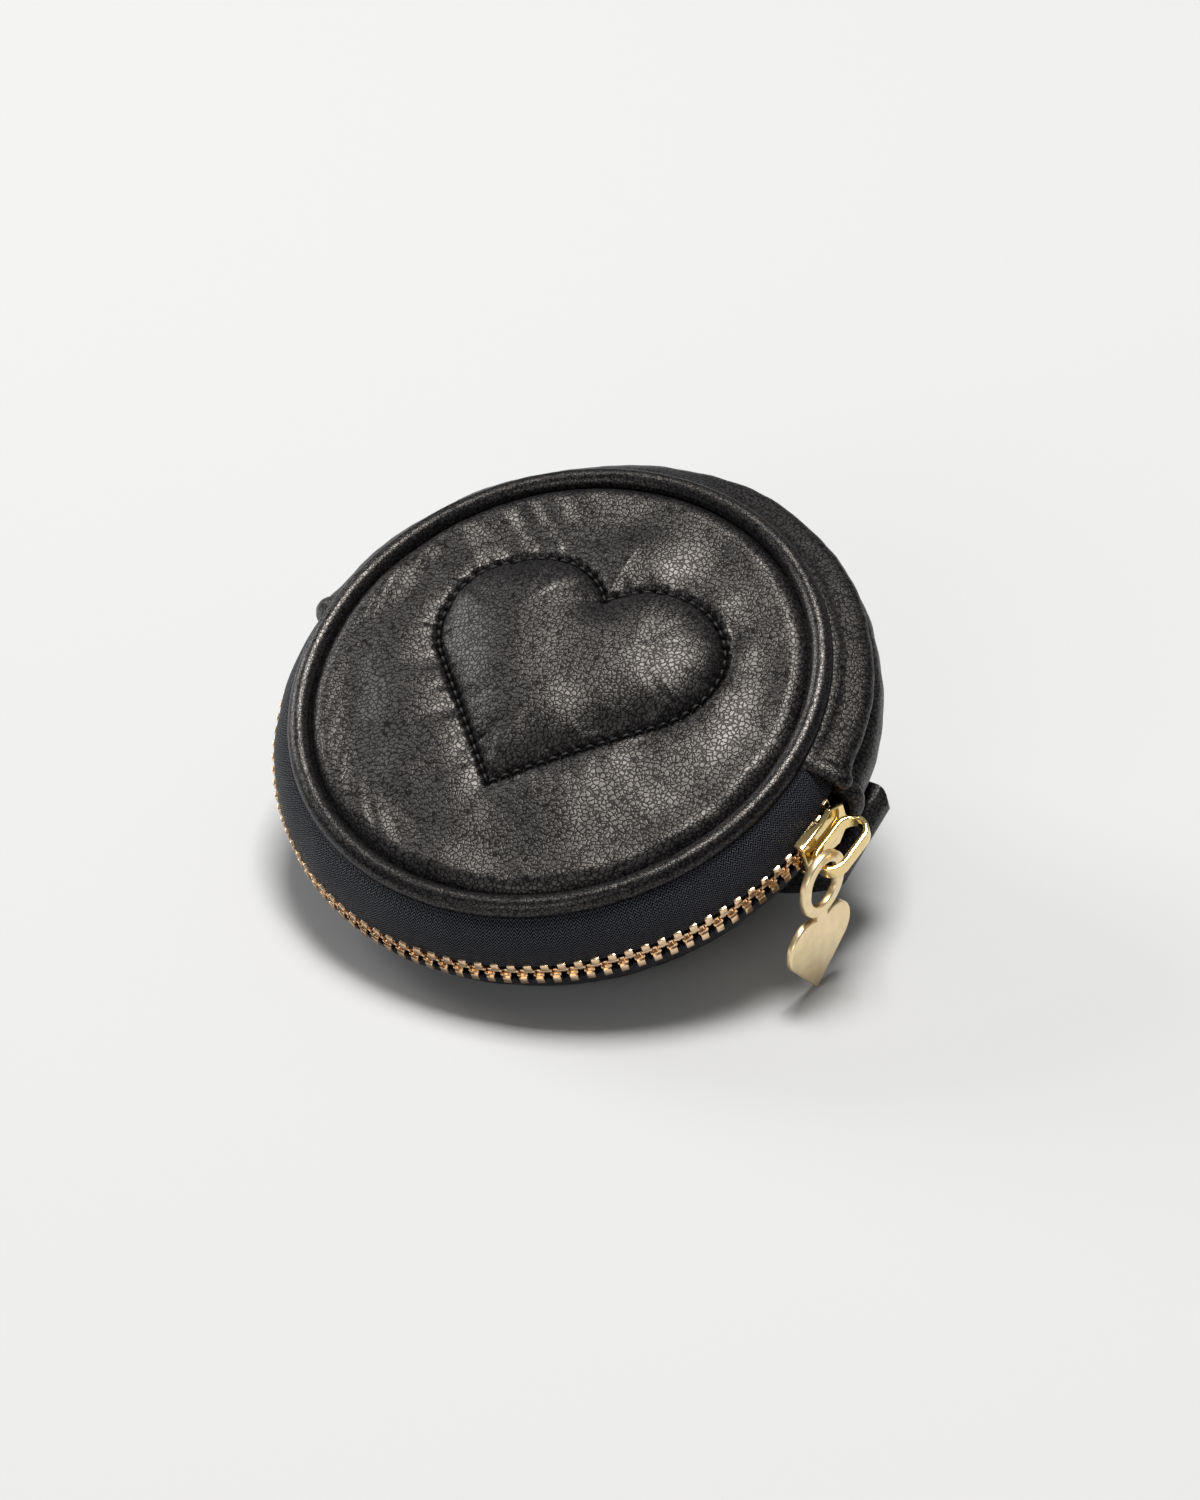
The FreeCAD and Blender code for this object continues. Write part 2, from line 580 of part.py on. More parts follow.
PLATE_HEIGHT = "(Sizes.slider_bore / 2 + Sizes.plate / 2)"
PLATE_TOP = size("slider_bore") / 2 + size("plate")
outer_plate = body_pad("outer_plate", plate_outline, cell("plate"), "YZ_Plane")
bind(outer_plate, Placement__Base__x=PLATE_HEIGHT)
half_length = "Sizes.slider_length / 2"
inner_plate = block("inner_plate", cell("plate"), cell("slider_length"), cell("inner_width"),
                    "-%s - Sizes.plate / 2" % PLATE_HEIGHT, "-" + half_length, "-Sizes.inner_width / 2")
post_start = half_length + " - Sizes.post_inset - Sizes.post_length"
post = block("post", "Sizes.slider_bore + Sizes.plate", cell("post_length"), cell("post_width"),
             "-Sizes.slider_bore / 2 - Sizes.plate / 2", post_start, "-Sizes.post_width / 2")
flanges = []
wall = cell("flange_wall")
tail_edge = "Sizes.tail_width / 2"
for name, low in (("upper_flange", tail_edge + " - " + wall), ("lower_flange", "-" + tail_edge)):
    flanges.append(block(name, "Sizes.flange + Sizes.plate / 2", half_length, wall,
                         "Sizes.slider_bore / 2 - Sizes.flange", "-" + half_length, low))
slider = fuse("slider_solid", outer_plate, inner_plate, post, *flanges)
keep(slider, "slider_body", on_slider())


def bridge_outline(sketch):
    """The bridge: a stadium along the chain with a smaller one inside it."""
    half = "(Sizes.bridge_length - Sizes.bridge_rise) / 2"
    draw_stadium(sketch, "outer", half, "Sizes.bridge_rise / 2")
    draw_stadium(sketch, "inner", half, "Sizes.bridge_rise / 2 - Sizes.bridge_wall")


def stand_on_plate():
    """Place of the bridge in the slider's frame: its sketch x runs along the chain and y outwards."""
    matrix = FreeCAD.Matrix(0, 1, 0, PLATE_TOP + size("bridge_rise") / 2, 1, 0, 0, -size("bridge_shift"),
                            0, 0, -1, 0, 0, 0, 0, 1)
    return FreeCAD.Placement(matrix)


bridge = body_pad("bridge", bridge_outline, cell("bridge_width"))
keep(bridge, "slider_bridge", on_slider() * stand_on_plate())


def hook():
    """The middle of the bridge's strip at the slider's narrow end, where the charm hangs."""
    end = size("bridge_shift") + size("bridge_length") / 2 - size("bridge_wall") / 2
    return V(PLATE_TOP + size("bridge_rise") / 2, -end, 0)


def draw_charm_ring(sketch):
    """The charm's ring, its long axis upright."""
    half = "(Sizes.ring_height - Sizes.ring_width) / 2"
    draw_stadium(sketch, "outer", half, "Sizes.ring_width / 2")
    draw_stadium(sketch, "inner", half, "Sizes.ring_width / 2 - Sizes.ring_band")


def draw_charm_heart(sketch):
    draw_heart(sketch, "charm", cell("charm_lobe"), cell("charm_spread"), cell("charm_tip"))


charm_ring = body_pad("charm_ring", draw_charm_ring, cell("charm_plate"))
charm_heart = body_pad("charm_heart", draw_charm_heart, cell("charm_plate"))
heart_drop = "(Sizes.ring_height / 2 + Sizes.charm_lobe)"
bind(charm_heart, Placement__Base__x="-" + heart_drop)
charm_heart.Placement.Rotation = FreeCAD.Rotation(UP, -90)
neck = block("neck", "Sizes.charm_lobe + Sizes.ring_band / 2", cell("neck_width"), cell("charm_plate"),
             "-" + heart_drop, "-Sizes.neck_width / 2", "-Sizes.charm_plate / 2")
charm = fuse("charm_solid", charm_ring, charm_heart, neck)


def charm_place():
    """The charm hangs from the bridge's hook square to its strip; the charm's own x is up."""
    slider_frame = on_slider()
    out = slider_frame.Rotation.multVec(V(1, 0, 0))
    down = FreeCAD.Rotation(V(1, 0, 0), -size("lean")).multVec(V(0, 0, -1))
    up = (out * out.dot(down) - down).normalize()
    side = out.cross(up)
    slack = hypot(size("bridge_wall"), size("bridge_width")) / 2 + size("charm_play")
    drop = size("ring_height") / 2 - size("ring_band") - slack
    centre = slider_frame.multVec(hook()) - up * drop
    matrix = FreeCAD.Matrix(up.x, side.x, out.x, centre.x, up.y, side.y, out.y, centre.y,
                            up.z, side.z, out.z, centre.z, 0, 0, 0, 1)
    return FreeCAD.Placement(matrix)


keep(charm, "heart_charm", charm_place())


# ---------------------------------------------------------------- back strap

def strap_depth():
    """Depth of the strap's outer face below the chain, at which purse and strap stand level."""
    lean = radians(size("lean"))
    toe = size("piping_ring") * sin(lean) + size("half_depth") * cos(lean) + size("piping_girth")
    edge = size("strap_width") / 2 - size("strap_shift")
    return (toe - edge * sin(lean)) / cos(lean)


def strap_layer(inner, outer):
    """One layer of the strap between two distances from the middle of its two layers."""
    fold, flat = size("strap_fold"), size("strap_flat") / 2
    half_thick = size("strap_skin") + size("sewn_gap") / 2
    hinge = V(size("strap_reach") - fold - half_thick, 0, -size("strap_seat") - fold)
    floor = half_thick - strap_depth()
    slope = 2 * atan((hinge.z - floor - fold) / (hinge.x - flat))
    arch = fold + (hinge.x - flat) / sin(slope)
    hub = V(flat, 0, floor + arch)

    def arc(centre, radius, start, middle, end):
        points = [centre + V(cos(a), 0, sin(a)) * radius for a in (start, middle, end)]
        return Part.Arc(*points).toShape()

    def right_side(offset):
        """Edges of the right half, from the seam round the fold to the flat middle."""
        turn = slope - pi / 2
        top = V(hinge.x, 0, hinge.z + fold + offset)
        root = V(size("piping_ring") - size("strap_root"), 0, top.z)
        edges = [Part.LineSegment(root, top).toShape()]
        edges.append(arc(hinge, fold + offset, pi / 2, turn / 2, turn))
        edges.append(arc(hub, arch + offset, turn, (turn - pi / 2) / 2, -pi / 2))
        return edges, root, V(flat, 0, floor - offset)

    inside, inner_root, inner_end = right_side(inner)
    outside, outer_root, outer_end = right_side(outer)
    middle = V(0, 0, inner_end.z), V(0, 0, outer_end.z)
    edges = inside + outside
    edges.append(Part.LineSegment(inner_root, outer_root).toShape())
    edges.append(Part.LineSegment(inner_end, middle[0]).toShape())
    edges.append(Part.LineSegment(outer_end, middle[1]).toShape())
    edges.append(Part.LineSegment(*middle).toShape())
    face = Part.Face(Part.Wire(Part.__sortEdges__(edges)))
    half = face.extrude(V(0, size("strap_width"), 0))
    half.translate(V(0, size("strap_shift") - size("strap_width") / 2, 0))
    return half.fuse(half.mirror(V(), V(1, 0, 0))).removeSplitter()


def strap_window():
    """A slab with rounded corners that trims the strap's corners, and leaves its seam ends on the piping."""
    reach, width = size("strap_reach") + size("sewn_gap") / 2, size("strap_width")
    deep = 2 * strap_depth()
    slab = Part.makeBox(2 * reach, width, deep, V(-reach, size("strap_shift") - width / 2, -deep))
    uprights = [e for e in slab.Edges if abs(e.Vertexes[0].Point.z - e.Vertexes[-1].Point.z) > deep / 2]
    slab = slab.makeFillet(size("strap_corner"), uprights)
    ring = Part.makeTorus(size("piping_ring"), size("piping_girth") + size("sewn_gap"))
    ring.translate(V(0, 0, -size("half_depth")))
    return slab, ring


def trimmed(layer):
    slab, ring = strap_window()
    kept = layer.common(slab).cut(ring)
    return max(kept.Solids, key=lambda s: s.Volume)


gap = size("sewn_gap") / 2
skin = size("strap_skin")
keep(feature("strap_outer", trimmed(strap_layer(gap, gap + skin))), "back_strap")
keep(feature("strap_inner", trimmed(strap_layer(-gap - skin, -gap))), "strap_lining")


# ---------------------------------------------------------------- stand, check and write

doc.recompute()
lean = FreeCAD.Placement(V(), FreeCAD.Rotation(V(1, 0, 0), size("lean")))
for thing, place in pieces:
    thing.Placement = lean * place
doc.recompute()
whole = FreeCAD.BoundBox()
for thing, _ in pieces:
    whole.add(thing.Shape.optimalBoundingBox(False, False))
shift = V(-whole.Center.x, -whole.Center.y, -whole.ZMin)
for thing, place in pieces:
    thing.Placement = FreeCAD.Placement(shift, FreeCAD.Rotation()) * lean * place
doc.recompute()

broken = [o.Name for o in doc.Objects if "Invalid" in o.State or "Error" in o.State]
for thing, _ in pieces:
    if thing.Shape.isNull() or not thing.Shape.isValid() or not thing.Shape.Solids:
        broken.append(thing.Label)
if broken:
    raise RuntimeError("failed: " + ", ".join(broken))

os.makedirs("parts", exist_ok=True)
for thing, _ in pieces:
    thing.Shape.exportStep("parts/%s.step" % thing.Label)

stand = FreeCAD.Placement(shift, FreeCAD.Rotation()) * lean


def say(name, point, axis):
    """Print a joint's place and axis as the record states them, in metres."""
    place = stand.multVec(point) * 0.001
    way = stand.Rotation.multVec(axis)
    print("%s pos_m [%.6f, %.6f, %.6f] axis [%.6f, %.6f, %.6f]" % (name, *place, *way))


print("box", [round(x, 3) for x in (whole.XLength, whole.YLength, whole.ZLength)])
say("slider_travel", V(), UP)
say("charm_swing", on_slider().multVec(hook()), on_slider().Rotation.multVec(V(1, 0, 0)))
mouth = radians(size("mouth_end"))
say("front_open", V(0, size("chain_ring") * sin(mouth), 0), V(-1, 0, 0))
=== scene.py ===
"""Looks of the coin purse: leather, quilting, zipper, metal and strap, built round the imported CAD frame.

Sizes are millimetres in the purse's own frame, as in the CAD source: x along the back strap, y up the
face away from the zipper, z out of the front, with the origin in the middle of the zipper's chain ring.
world() turns them into the row's metres.
"""
import json
from math import asin, atan2, cos, degrees, hypot, pi, radians, sin, sqrt

import bmesh
import bpy
import numpy as np
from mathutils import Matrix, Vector, noise
from mathutils.kdtree import KDTree

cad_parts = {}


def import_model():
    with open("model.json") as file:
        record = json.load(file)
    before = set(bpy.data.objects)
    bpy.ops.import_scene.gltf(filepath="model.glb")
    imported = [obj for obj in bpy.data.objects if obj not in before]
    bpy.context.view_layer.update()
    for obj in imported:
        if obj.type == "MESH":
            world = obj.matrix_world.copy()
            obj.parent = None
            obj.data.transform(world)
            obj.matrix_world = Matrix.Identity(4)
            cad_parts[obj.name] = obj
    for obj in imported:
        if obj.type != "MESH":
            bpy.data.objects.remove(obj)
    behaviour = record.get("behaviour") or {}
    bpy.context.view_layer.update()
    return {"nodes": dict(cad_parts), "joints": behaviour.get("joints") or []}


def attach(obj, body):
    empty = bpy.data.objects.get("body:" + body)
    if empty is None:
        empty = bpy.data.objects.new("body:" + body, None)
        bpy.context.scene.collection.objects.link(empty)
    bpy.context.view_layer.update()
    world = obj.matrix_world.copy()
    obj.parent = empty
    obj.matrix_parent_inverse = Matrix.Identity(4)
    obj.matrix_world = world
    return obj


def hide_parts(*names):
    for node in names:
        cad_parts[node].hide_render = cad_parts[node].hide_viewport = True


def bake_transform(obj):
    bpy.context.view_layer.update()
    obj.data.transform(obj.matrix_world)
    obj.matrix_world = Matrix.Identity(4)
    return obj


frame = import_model()

MM = 0.001
ARC = 2 * pi

# ---------------------------------------------------------------- the purse's own frame

travel = next(j for j in frame["joints"] if j["name"] == "slider_travel")
CENTRE = np.array(travel["pos_m"])
OUT = np.array(travel["axis"])
LEAN = atan2(-OUT[1], OUT[2])
ALONG = np.array([1.0, 0.0, 0.0])
UPHILL = np.array([0.0, cos(LEAN), sin(LEAN)])
AXES = np.stack([ALONG, UPHILL, OUT])


def world(points):
    """Purse-frame millimetres to row-frame metres, for an (n, 3) array or one point."""
    return CENTRE + np.asarray(points, float) @ AXES * MM


# Sizes shared with the CAD source, in millimetres. Radii are from the purse's middle, heights from the chain.
PIPING_RING, PIPING_GIRTH = 44.6, 1.9
HALF_DEPTH = 9.8
FRONT_CROWN, BACK_CROWN = 4.5, 3.5
PANEL_RADIUS = PIPING_RING - PIPING_GIRTH - 0.1
HEART_LOBE, HEART_SPREAD, HEART_TIP = 14.5, 11.5, 31.0
HEART_CENTRE = HEART_TIP / 2 - HEART_LOBE / 2
STITCH_PITCH = 2.1
GUSSET_RING = 52.0
CHAIN_RING = 50.3
SEAM_RADIUS = PIPING_RING + PIPING_GIRTH + 0.2
SEAM_HEIGHT = HALF_DEPTH - PIPING_GIRTH + 0.2
TOOTH_PITCH = 2.75
OPEN_GAP = 1.4
SLIDER_LENGTH = 11.5
SPREAD_RAMP = 0.27
MOUTH_END = 4.5  # turns of the mouth's ends past the middle line, in degrees
SLIDER_PLACE = 6.0  # turn of the closed slider below the middle line, in degrees

# thicknesses of the soft sheets, and how far they go in under the piping
LEATHER_SKIN, GUSSET_SKIN, TAPE_SKIN, WADDING_SKIN = 0.9, 1.1, 0.55, 0.3
TUCK, TUCK_SLOPE = 0.7, 1.3

# sizes of the cylinder on which the noise of the gusset and the tape is drawn
NOISE_RING, NOISE_DEPTH = 50, 8


# ---------------------------------------------------------------- mesh helpers

# In a CAD copy, corners closer than WELD are one, and faces within FLAT_TURN degrees are one. Edges of more
# than EDGE_TURN degrees are rounded.
WELD, FLAT_TURN = 0.002, 2
EDGE_TURN, EDGE_SEGMENTS = 30, 3


def new_object(name, vertices, faces):
    """A smooth mesh object from purse-frame vertices and faces of vertex numbers."""
    mesh = bpy.data.meshes.new(name)
    mesh.from_pydata(world(vertices).tolist(), [], faces)
    mesh.validate()
    mesh.shade_smooth()
    thing = bpy.data.objects.new(name, mesh)
    bpy.context.collection.objects.link(thing)
    return thing


def grid_faces(rows, columns, wrap_columns=False, wrap_rows=False):
    """Quads over a grid of rows by columns vertices, listed row by row."""
    faces = []
    for i in range(rows if wrap_rows else rows - 1):
        for j in range(columns if wrap_columns else columns - 1):
            a = i * columns + j
            b = i * columns + (j + 1) % columns
            c = ((i + 1) % rows) * columns + (j + 1) % columns
            d = ((i + 1) % rows) * columns + j
            faces.append((a, b, c, d))
    return faces


def add_uv(thing, u, v):
    """One UV per vertex, in millimetres, spread to the mesh's corners."""
    layer = thing.data.uv_layers.new(name="weave")
    corners = np.empty(len(thing.data.loops), dtype=np.int32)
    thing.data.loops.foreach_get("vertex_index", corners)
    pairs = np.stack([np.asarray(u)[corners], np.asarray(v)[corners]], axis=1)
    layer.data.foreach_set("uv", pairs.ravel())


def fuzz(points, height, size, seed):
    """Smooth noise of about the given height at each purse-frame point, with features of the given size."""
    shift = Vector((seed * 17.3, seed * 9.1, seed * 5.7))
    return height * np.array([noise.noise(Vector(p) / size + shift) for p in points])


def smooth_step(low, high, x):
    """A soft step from 0 at low to 1 at high."""
    t = np.clip((x - low) / (high - low), 0, 1)
    return t * t * (3 - 2 * t)


def bevel(thing, width):
    """Round an object's edges, with smooth shading kept crisp at the flats."""
    modifier = thing.modifiers.new("round", "BEVEL")
    modifier.width = width * MM
    modifier.segments = EDGE_SEGMENTS
    modifier.limit_method = "ANGLE"
    modifier.angle_limit = radians(EDGE_TURN)
    modifier.harden_normals = True
    thing.data.shade_smooth()


def cad_copy(node, name, width):
    """A piece that starts as a copy of a CAD node's mesh, with welded corners and rounded edges."""
    mesh = frame["nodes"][node].data.copy()
    thing = bpy.data.objects.new(name, mesh)
    bpy.context.collection.objects.link(thing)
    shape = bmesh.new()
    shape.from_mesh(mesh)
    bmesh.ops.remove_doubles(shape, verts=shape.verts, dist=WELD * MM)
    bmesh.ops.dissolve_limit(shape, angle_limit=radians(FLAT_TURN), verts=shape.verts, edges=shape.edges)
    shape.to_mesh(mesh)
    shape.free()
    for polygon in mesh.polygons:
        polygon.use_smooth = True
    bevel(thing, width)
    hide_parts(node)
    return thing


def paint(thing, material):
    """Give a piece its only material."""
    thing.data.materials.clear()
    thing.data.materials.append(material)


def thicken(thing, thickness, side=-1):
    """Give a sheet its thickness, inwards of its surface (-1) or outwards (1)."""
    modifier = thing.modifiers.new("skin", "SOLIDIFY")
    modifier.thickness = thickness * MM
    modifier.offset = side


# ---------------------------------------------------------------- materials

class Nodes:
    """Short calls to build one material's node tree."""

    def __init__(self, name):
        self.material = bpy.data.materials.new(name)
        self.material.use_nodes = True
        self.tree = self.material.node_tree
        self.shader = self.tree.nodes["Principled BSDF"]

    def add(self, kind, **values):
        node = self.tree.nodes.new(kind)
        for key, value in values.items():
            setattr(node, key, value)
        return node

    def link(self, source, target):
        self.tree.links.new(source, target)

    def math(self, operation, a, b=None, c=None):
        node = self.add("ShaderNodeMath", operation=operation)
        for socket, value in zip(node.inputs, (a, b, c)):
            if value is None:
                continue
            if isinstance(value, (int, float)):
                socket.default_value = value
            else:
                self.link(value, socket)
        return node.outputs[0]

    def ramp(self, factor, stops):
        node = self.add("ShaderNodeValToRGB")
        ramp = node.color_ramp
        while len(ramp.elements) < len(stops):
            ramp.elements.new(0.5)
        for element, (place, colour) in zip(ramp.elements, stops):
            element.position = place
            element.color = (*colour, 1)
        self.link(factor, node.inputs[0])
        return node.outputs[0]

    def position(self):
        """The object's own coordinates in millimetres."""
        coordinates = self.add("ShaderNodeTexCoord")
        mapping = self.add("ShaderNodeMapping")
        mapping.inputs["Scale"].default_value = (1 / MM, 1 / MM, 1 / MM)
        self.link(coordinates.outputs["Object"], mapping.inputs[0])
        return mapping.outputs[0]

    def noise(self, where, scale, detail=3.0, rough=0.5, distortion=0.0):
        node = self.add("ShaderNodeTexNoise")
        node.inputs["Scale"].default_value = scale
        node.inputs["Detail"].default_value = detail
        node.inputs["Roughness"].default_value = rough
        node.inputs["Distortion"].default_value = distortion
        self.link(where, node.inputs["Vector"])
        return node.outputs[0]

    def cell_edges(self, where, scale):
        """Distance to the nearest edge between Voronoi cells."""
        node = self.add("ShaderNodeTexVoronoi", feature="DISTANCE_TO_EDGE")
        node.inputs["Scale"].default_value = scale
        self.link(where, node.inputs["Vector"])
        return node.outputs["Distance"]

    def bump(self, height, distance):
        """A normal for a relief that is distance millimetres deep."""
        node = self.add("ShaderNodeBump")
        node.inputs["Distance"].default_value = distance * MM
        node.inputs["Strength"].default_value = 1.0
        self.link(height, node.inputs["Height"])
        return node.outputs[0]

    def span(self, value, low, high):
        """A value from 0 to 1 spread from low to high."""
        node = self.add("ShaderNodeMapRange")
        self.link(value, node.inputs["Value"])
        node.inputs["To Min"].default_value = low
        node.inputs["To Max"].default_value = high
        return node.outputs[0]

    def weigh(self, *pairs):
        """The sum of each value times its weight."""
        total = None
        for value, weight in pairs:
            part = self.math("MULTIPLY", value, weight)
            total = part if total is None else self.math("ADD", total, part)
        return total

    def set(self, **values):
        for key, value in values.items():
            self.shader.inputs[key.replace("_", " ")].default_value = value

    def drive(self, socket, source):
        self.link(source, self.shader.inputs[socket])


# The leather's pebbles are bent by noise: its scale per millimetre and its reach in millimetres.
DRIFT_SCALE, DRIFT = 0.9, 0.9
# A pebble has its full height from this share of the grain inwards.
CREASE_SHARE = 0.22
WARM_SHEEN = (1, 0.94, 0.88, 1)


def leather(name, colour, pale, grain=0.8, depth=0.024, rough=(0.35, 0.43), crumple=0.1):
    """Soft nappa: smooth-topped pebbles, with dull creases between them that the base colour darkens as
    painted shade, on a slightly crumpled skin.
    """
    n = Nodes(name)
    where = n.position()
    warp = n.add("ShaderNodeVectorMath", operation="MULTIPLY_ADD")
    drift = n.add("ShaderNodeTexNoise")
    drift.inputs["Scale"].default_value = DRIFT_SCALE
    n.link(where, drift.inputs["Vector"])
    n.link(drift.outputs["Color"], warp.inputs[0])
    warp.inputs[1].default_value = (DRIFT, DRIFT, DRIFT)
    n.link(where, warp.inputs[2])
    edge = n.cell_edges(warp.outputs[0], 1 / grain)
    top = n.add("ShaderNodeMapRange", interpolation_type="SMOOTHSTEP")
    top.inputs["From Max"].default_value = CREASE_SHARE
    n.link(edge, top.inputs["Value"])
    pebble = top.outputs[0]
    pore = n.noise(where, scale=3.4, detail=3.0, rough=0.6)
    crumples = n.noise(where, scale=0.45, detail=1.0, rough=0.5)
    broad = n.noise(where, scale=0.12, detail=3.0, rough=0.5)
    n.drive("Normal", n.bump(n.weigh((pebble, 1.0), (pore, 0.15), (crumples, crumple)), depth))
    # base colour: painted shade in the creases between the pebbles, plus random tone from the broad noise
    crease_shade_and_tone = n.weigh((pebble, 0.6), (broad, 0.4))
    n.drive("Base Color", n.ramp(crease_shade_and_tone, [(0.25, colour), (0.85, pale)]))
    n.drive("Specular IOR Level", n.span(pebble, 0.1, 0.57))
    n.drive("Roughness", n.span(n.weigh((pore, 0.5), (broad, 0.5)), *rough))
    n.set(Specular_Tint=WARM_SHEEN)
    return n.material


def metal(name, colour, rough, scratch):
    """Plated metal with fine handling marks as deep as scratch says, and a slightly cloudy colour."""
    n = Nodes(name)
    where = n.position()
    marks = n.noise(where, scale=2.2, detail=5.0, rough=0.7, distortion=0.4)
    cloud = n.noise(where, scale=0.5, detail=2.0, rough=0.5)
    n.drive("Roughness", n.span(marks, rough * 0.92, rough * 1.1))
    darker = tuple(c * 0.88 for c in colour)
    n.drive("Base Color", n.ramp(cloud, [(0.3, darker), (0.7, colour)]))
    n.drive("Normal", n.bump(n.math("MULTIPLY", marks, scratch), 0.3))
    n.set(Metallic=1.0)
    return n.material


def woven(name, colour, pale, pitch=0.4, column=1.1):
    """Herringbone zipper tape from the piece's own millimetre UVs; its base colour is painted dark between
    the threads as shade and pale on their crests as a glint.
    """
    n = Nodes(name)
    coordinates = n.add("ShaderNodeUVMap", uv_map="weave")
    split = n.add("ShaderNodeSeparateXYZ")
    n.link(coordinates.outputs[0], split.inputs[0])
    along, across = split.outputs[0], split.outputs[1]
    zigzag = n.math("PINGPONG", along, column / 2)
    slanted = n.math("ADD", across, n.math("MULTIPLY", zigzag, 0.9))
    thread_turn = n.math("MULTIPLY", slanted, ARC / pitch)
    thread = n.math("MULTIPLY_ADD", n.math("SINE", thread_turn), 0.5, 0.5)
    twisted = n.math("ADD", along, n.math("MULTIPLY", across, 0.35))
    ply_turn = n.math("MULTIPLY", twisted, ARC / (pitch * 0.9))
    ply = n.math("MULTIPLY_ADD", n.math("SINE", ply_turn), 0.5, 0.5)
    fluff = n.noise(n.position(), scale=5.0, detail=3.0, rough=0.6)
    height = n.weigh((thread, 0.6), (n.math("MULTIPLY", ply, thread), 0.4), (fluff, 0.5))
    n.drive("Normal", n.bump(height, 0.2))
    # base colour: painted shade between the threads and a painted glint on their crests, with random tone
    # from the fluff
    n.drive("Base Color", n.ramp(height, [(0.3, colour), (1.0, pale)]))
    n.drive("Specular IOR Level", n.span(n.math("POWER", height, 3.0), 0.0, 0.85))
    n.set(Roughness=0.45)
    return n.material


WAVES = 3.2  # waves of the wave texture to a unit at scale 1


def plain_cloth(name, colour, pale, pitch):
    """A fine square weave for linings, wadding and cord."""
    n = Nodes(name)
    where = n.position()
    waves = []
    for direction in ("X", "Y"):
        node = n.add("ShaderNodeTexWave", bands_direction=direction)
        node.inputs["Scale"].default_value = 1 / pitch / WAVES
        node.inputs["Distortion"].default_value = 0.6
        n.link(where, node.inputs["Vector"])
        waves.append(node.outputs["Fac"])
    both = n.math("MAXIMUM", *waves)
    n.drive("Base Color", n.ramp(both, [(0.3, colour), (0.9, pale)]))
    n.drive("Normal", n.bump(both, 0.1))
    n.set(Roughness=0.85)
    return n.material


def thread_material(name, colour):
    """Bonded thread with a fine uneven ply."""
    n = Nodes(name)
    ply = n.noise(n.position(), scale=6.0, detail=2.0, rough=0.5)
    n.drive("Normal", n.bump(ply, 0.1))
    n.drive("Base Color", n.ramp(ply, [(0.3, tuple(c * 0.6 for c in colour)), (0.8, colour)]))
    n.set(Roughness=0.5, Specular_IOR_Level=0.3)
    return n.material


BLACK = leather("black_nappa", (0.002, 0.0019, 0.0024), (0.009, 0.0086, 0.0094))
PIPING_LEATHER = leather(
    "piping_nappa", (0.003, 0.0028, 0.0035), (0.009, 0.0085, 0.0095),
    grain=0.62, depth=0.012, rough=(0.29, 0.35), crumple=0.05,
)
STRAP_LEATHER = leather(
    "strap_nappa", (0.005, 0.0045, 0.006), (0.016, 0.015, 0.017), grain=0.7, depth=0.02)
UNDER_LEATHER = leather(
    "under_leather", (0.006, 0.0055, 0.006), (0.016, 0.015, 0.016), grain=0.9, depth=0.02)
# the tape's second colour is the painted glint on its thread crests
TAPE = woven("zipper_tape", (0.001, 0.0012, 0.0025), (0.02, 0.023, 0.034))
TEETH = metal("rose_brass", (0.97, 0.69, 0.44), rough=0.2, scratch=0.01)
GOLD = metal("polished_gold", (1.0, 0.77, 0.36), rough=0.09, scratch=0.006)
SATIN = metal("satin_gold", (1.0, 0.81, 0.49), rough=0.34, scratch=0.0)
LINING = plain_cloth("lining_twill", (0.02, 0.02, 0.024), (0.05, 0.05, 0.056), pitch=0.35)
WADDING = plain_cloth("wadding", (0.7, 0.7, 0.68), (0.85, 0.85, 0.83), pitch=0.9)
CORD = plain_cloth("piping_cord", (0.08, 0.08, 0.08), (0.2, 0.2, 0.2), pitch=0.5)
THREAD = thread_material("black_thread", (0.012, 0.012, 0.013))


# ---------------------------------------------------------------- quilted front

# turn of the heart's straight sides, and the height at which they leave the lobes
HEART_LEAN = asin(HEART_LOBE / hypot(HEART_SPREAD, HEART_TIP)) + atan2(HEART_SPREAD, HEART_TIP)
TOUCH_HEIGHT = -HEART_LOBE * sin(HEART_LEAN)


def heart_points(step):
    """Points and outward directions along the heart's seam, step apart."""
    notch = atan2(sqrt(HEART_LOBE**2 - HEART_SPREAD**2), -HEART_SPREAD)
    side = []
    for turn in np.arange(notch, -HEART_LEAN, -step / HEART_LOBE):
        way = np.array([cos(turn), sin(turn)])
        side.append((np.array([HEART_SPREAD, 0]) + way * HEART_LOBE, way))
    way = np.array([cos(HEART_LEAN), -sin(HEART_LEAN)])
    touch = np.array([HEART_SPREAD, 0]) + way * HEART_LOBE
    tip = np.array([0.0, -HEART_TIP])
    length = np.linalg.norm(tip - touch)
    for share in np.arange(0, 1, step / length):
        side.append((touch + (tip - touch) * share, way))
    right = [(p + [0, HEART_CENTRE], w) for p, w in side]
    left = [(p * [-1, 1], w * [-1, 1]) for p, w in reversed(right)]
    return right + left


def heart_inside(x, y):
    """True inside the heart."""
    y = y - HEART_CENTRE
    ax = np.abs(x)
    lobe = np.hypot(ax - HEART_SPREAD, y) < HEART_LOBE
    across = ax * cos(HEART_LEAN) - (y + HEART_TIP) * sin(HEART_LEAN)
    wedge = (across < 0) & (y < TOUCH_HEIGHT + (HEART_SPREAD + HEART_LOBE - ax))
    return lobe | (wedge & (y < 0))


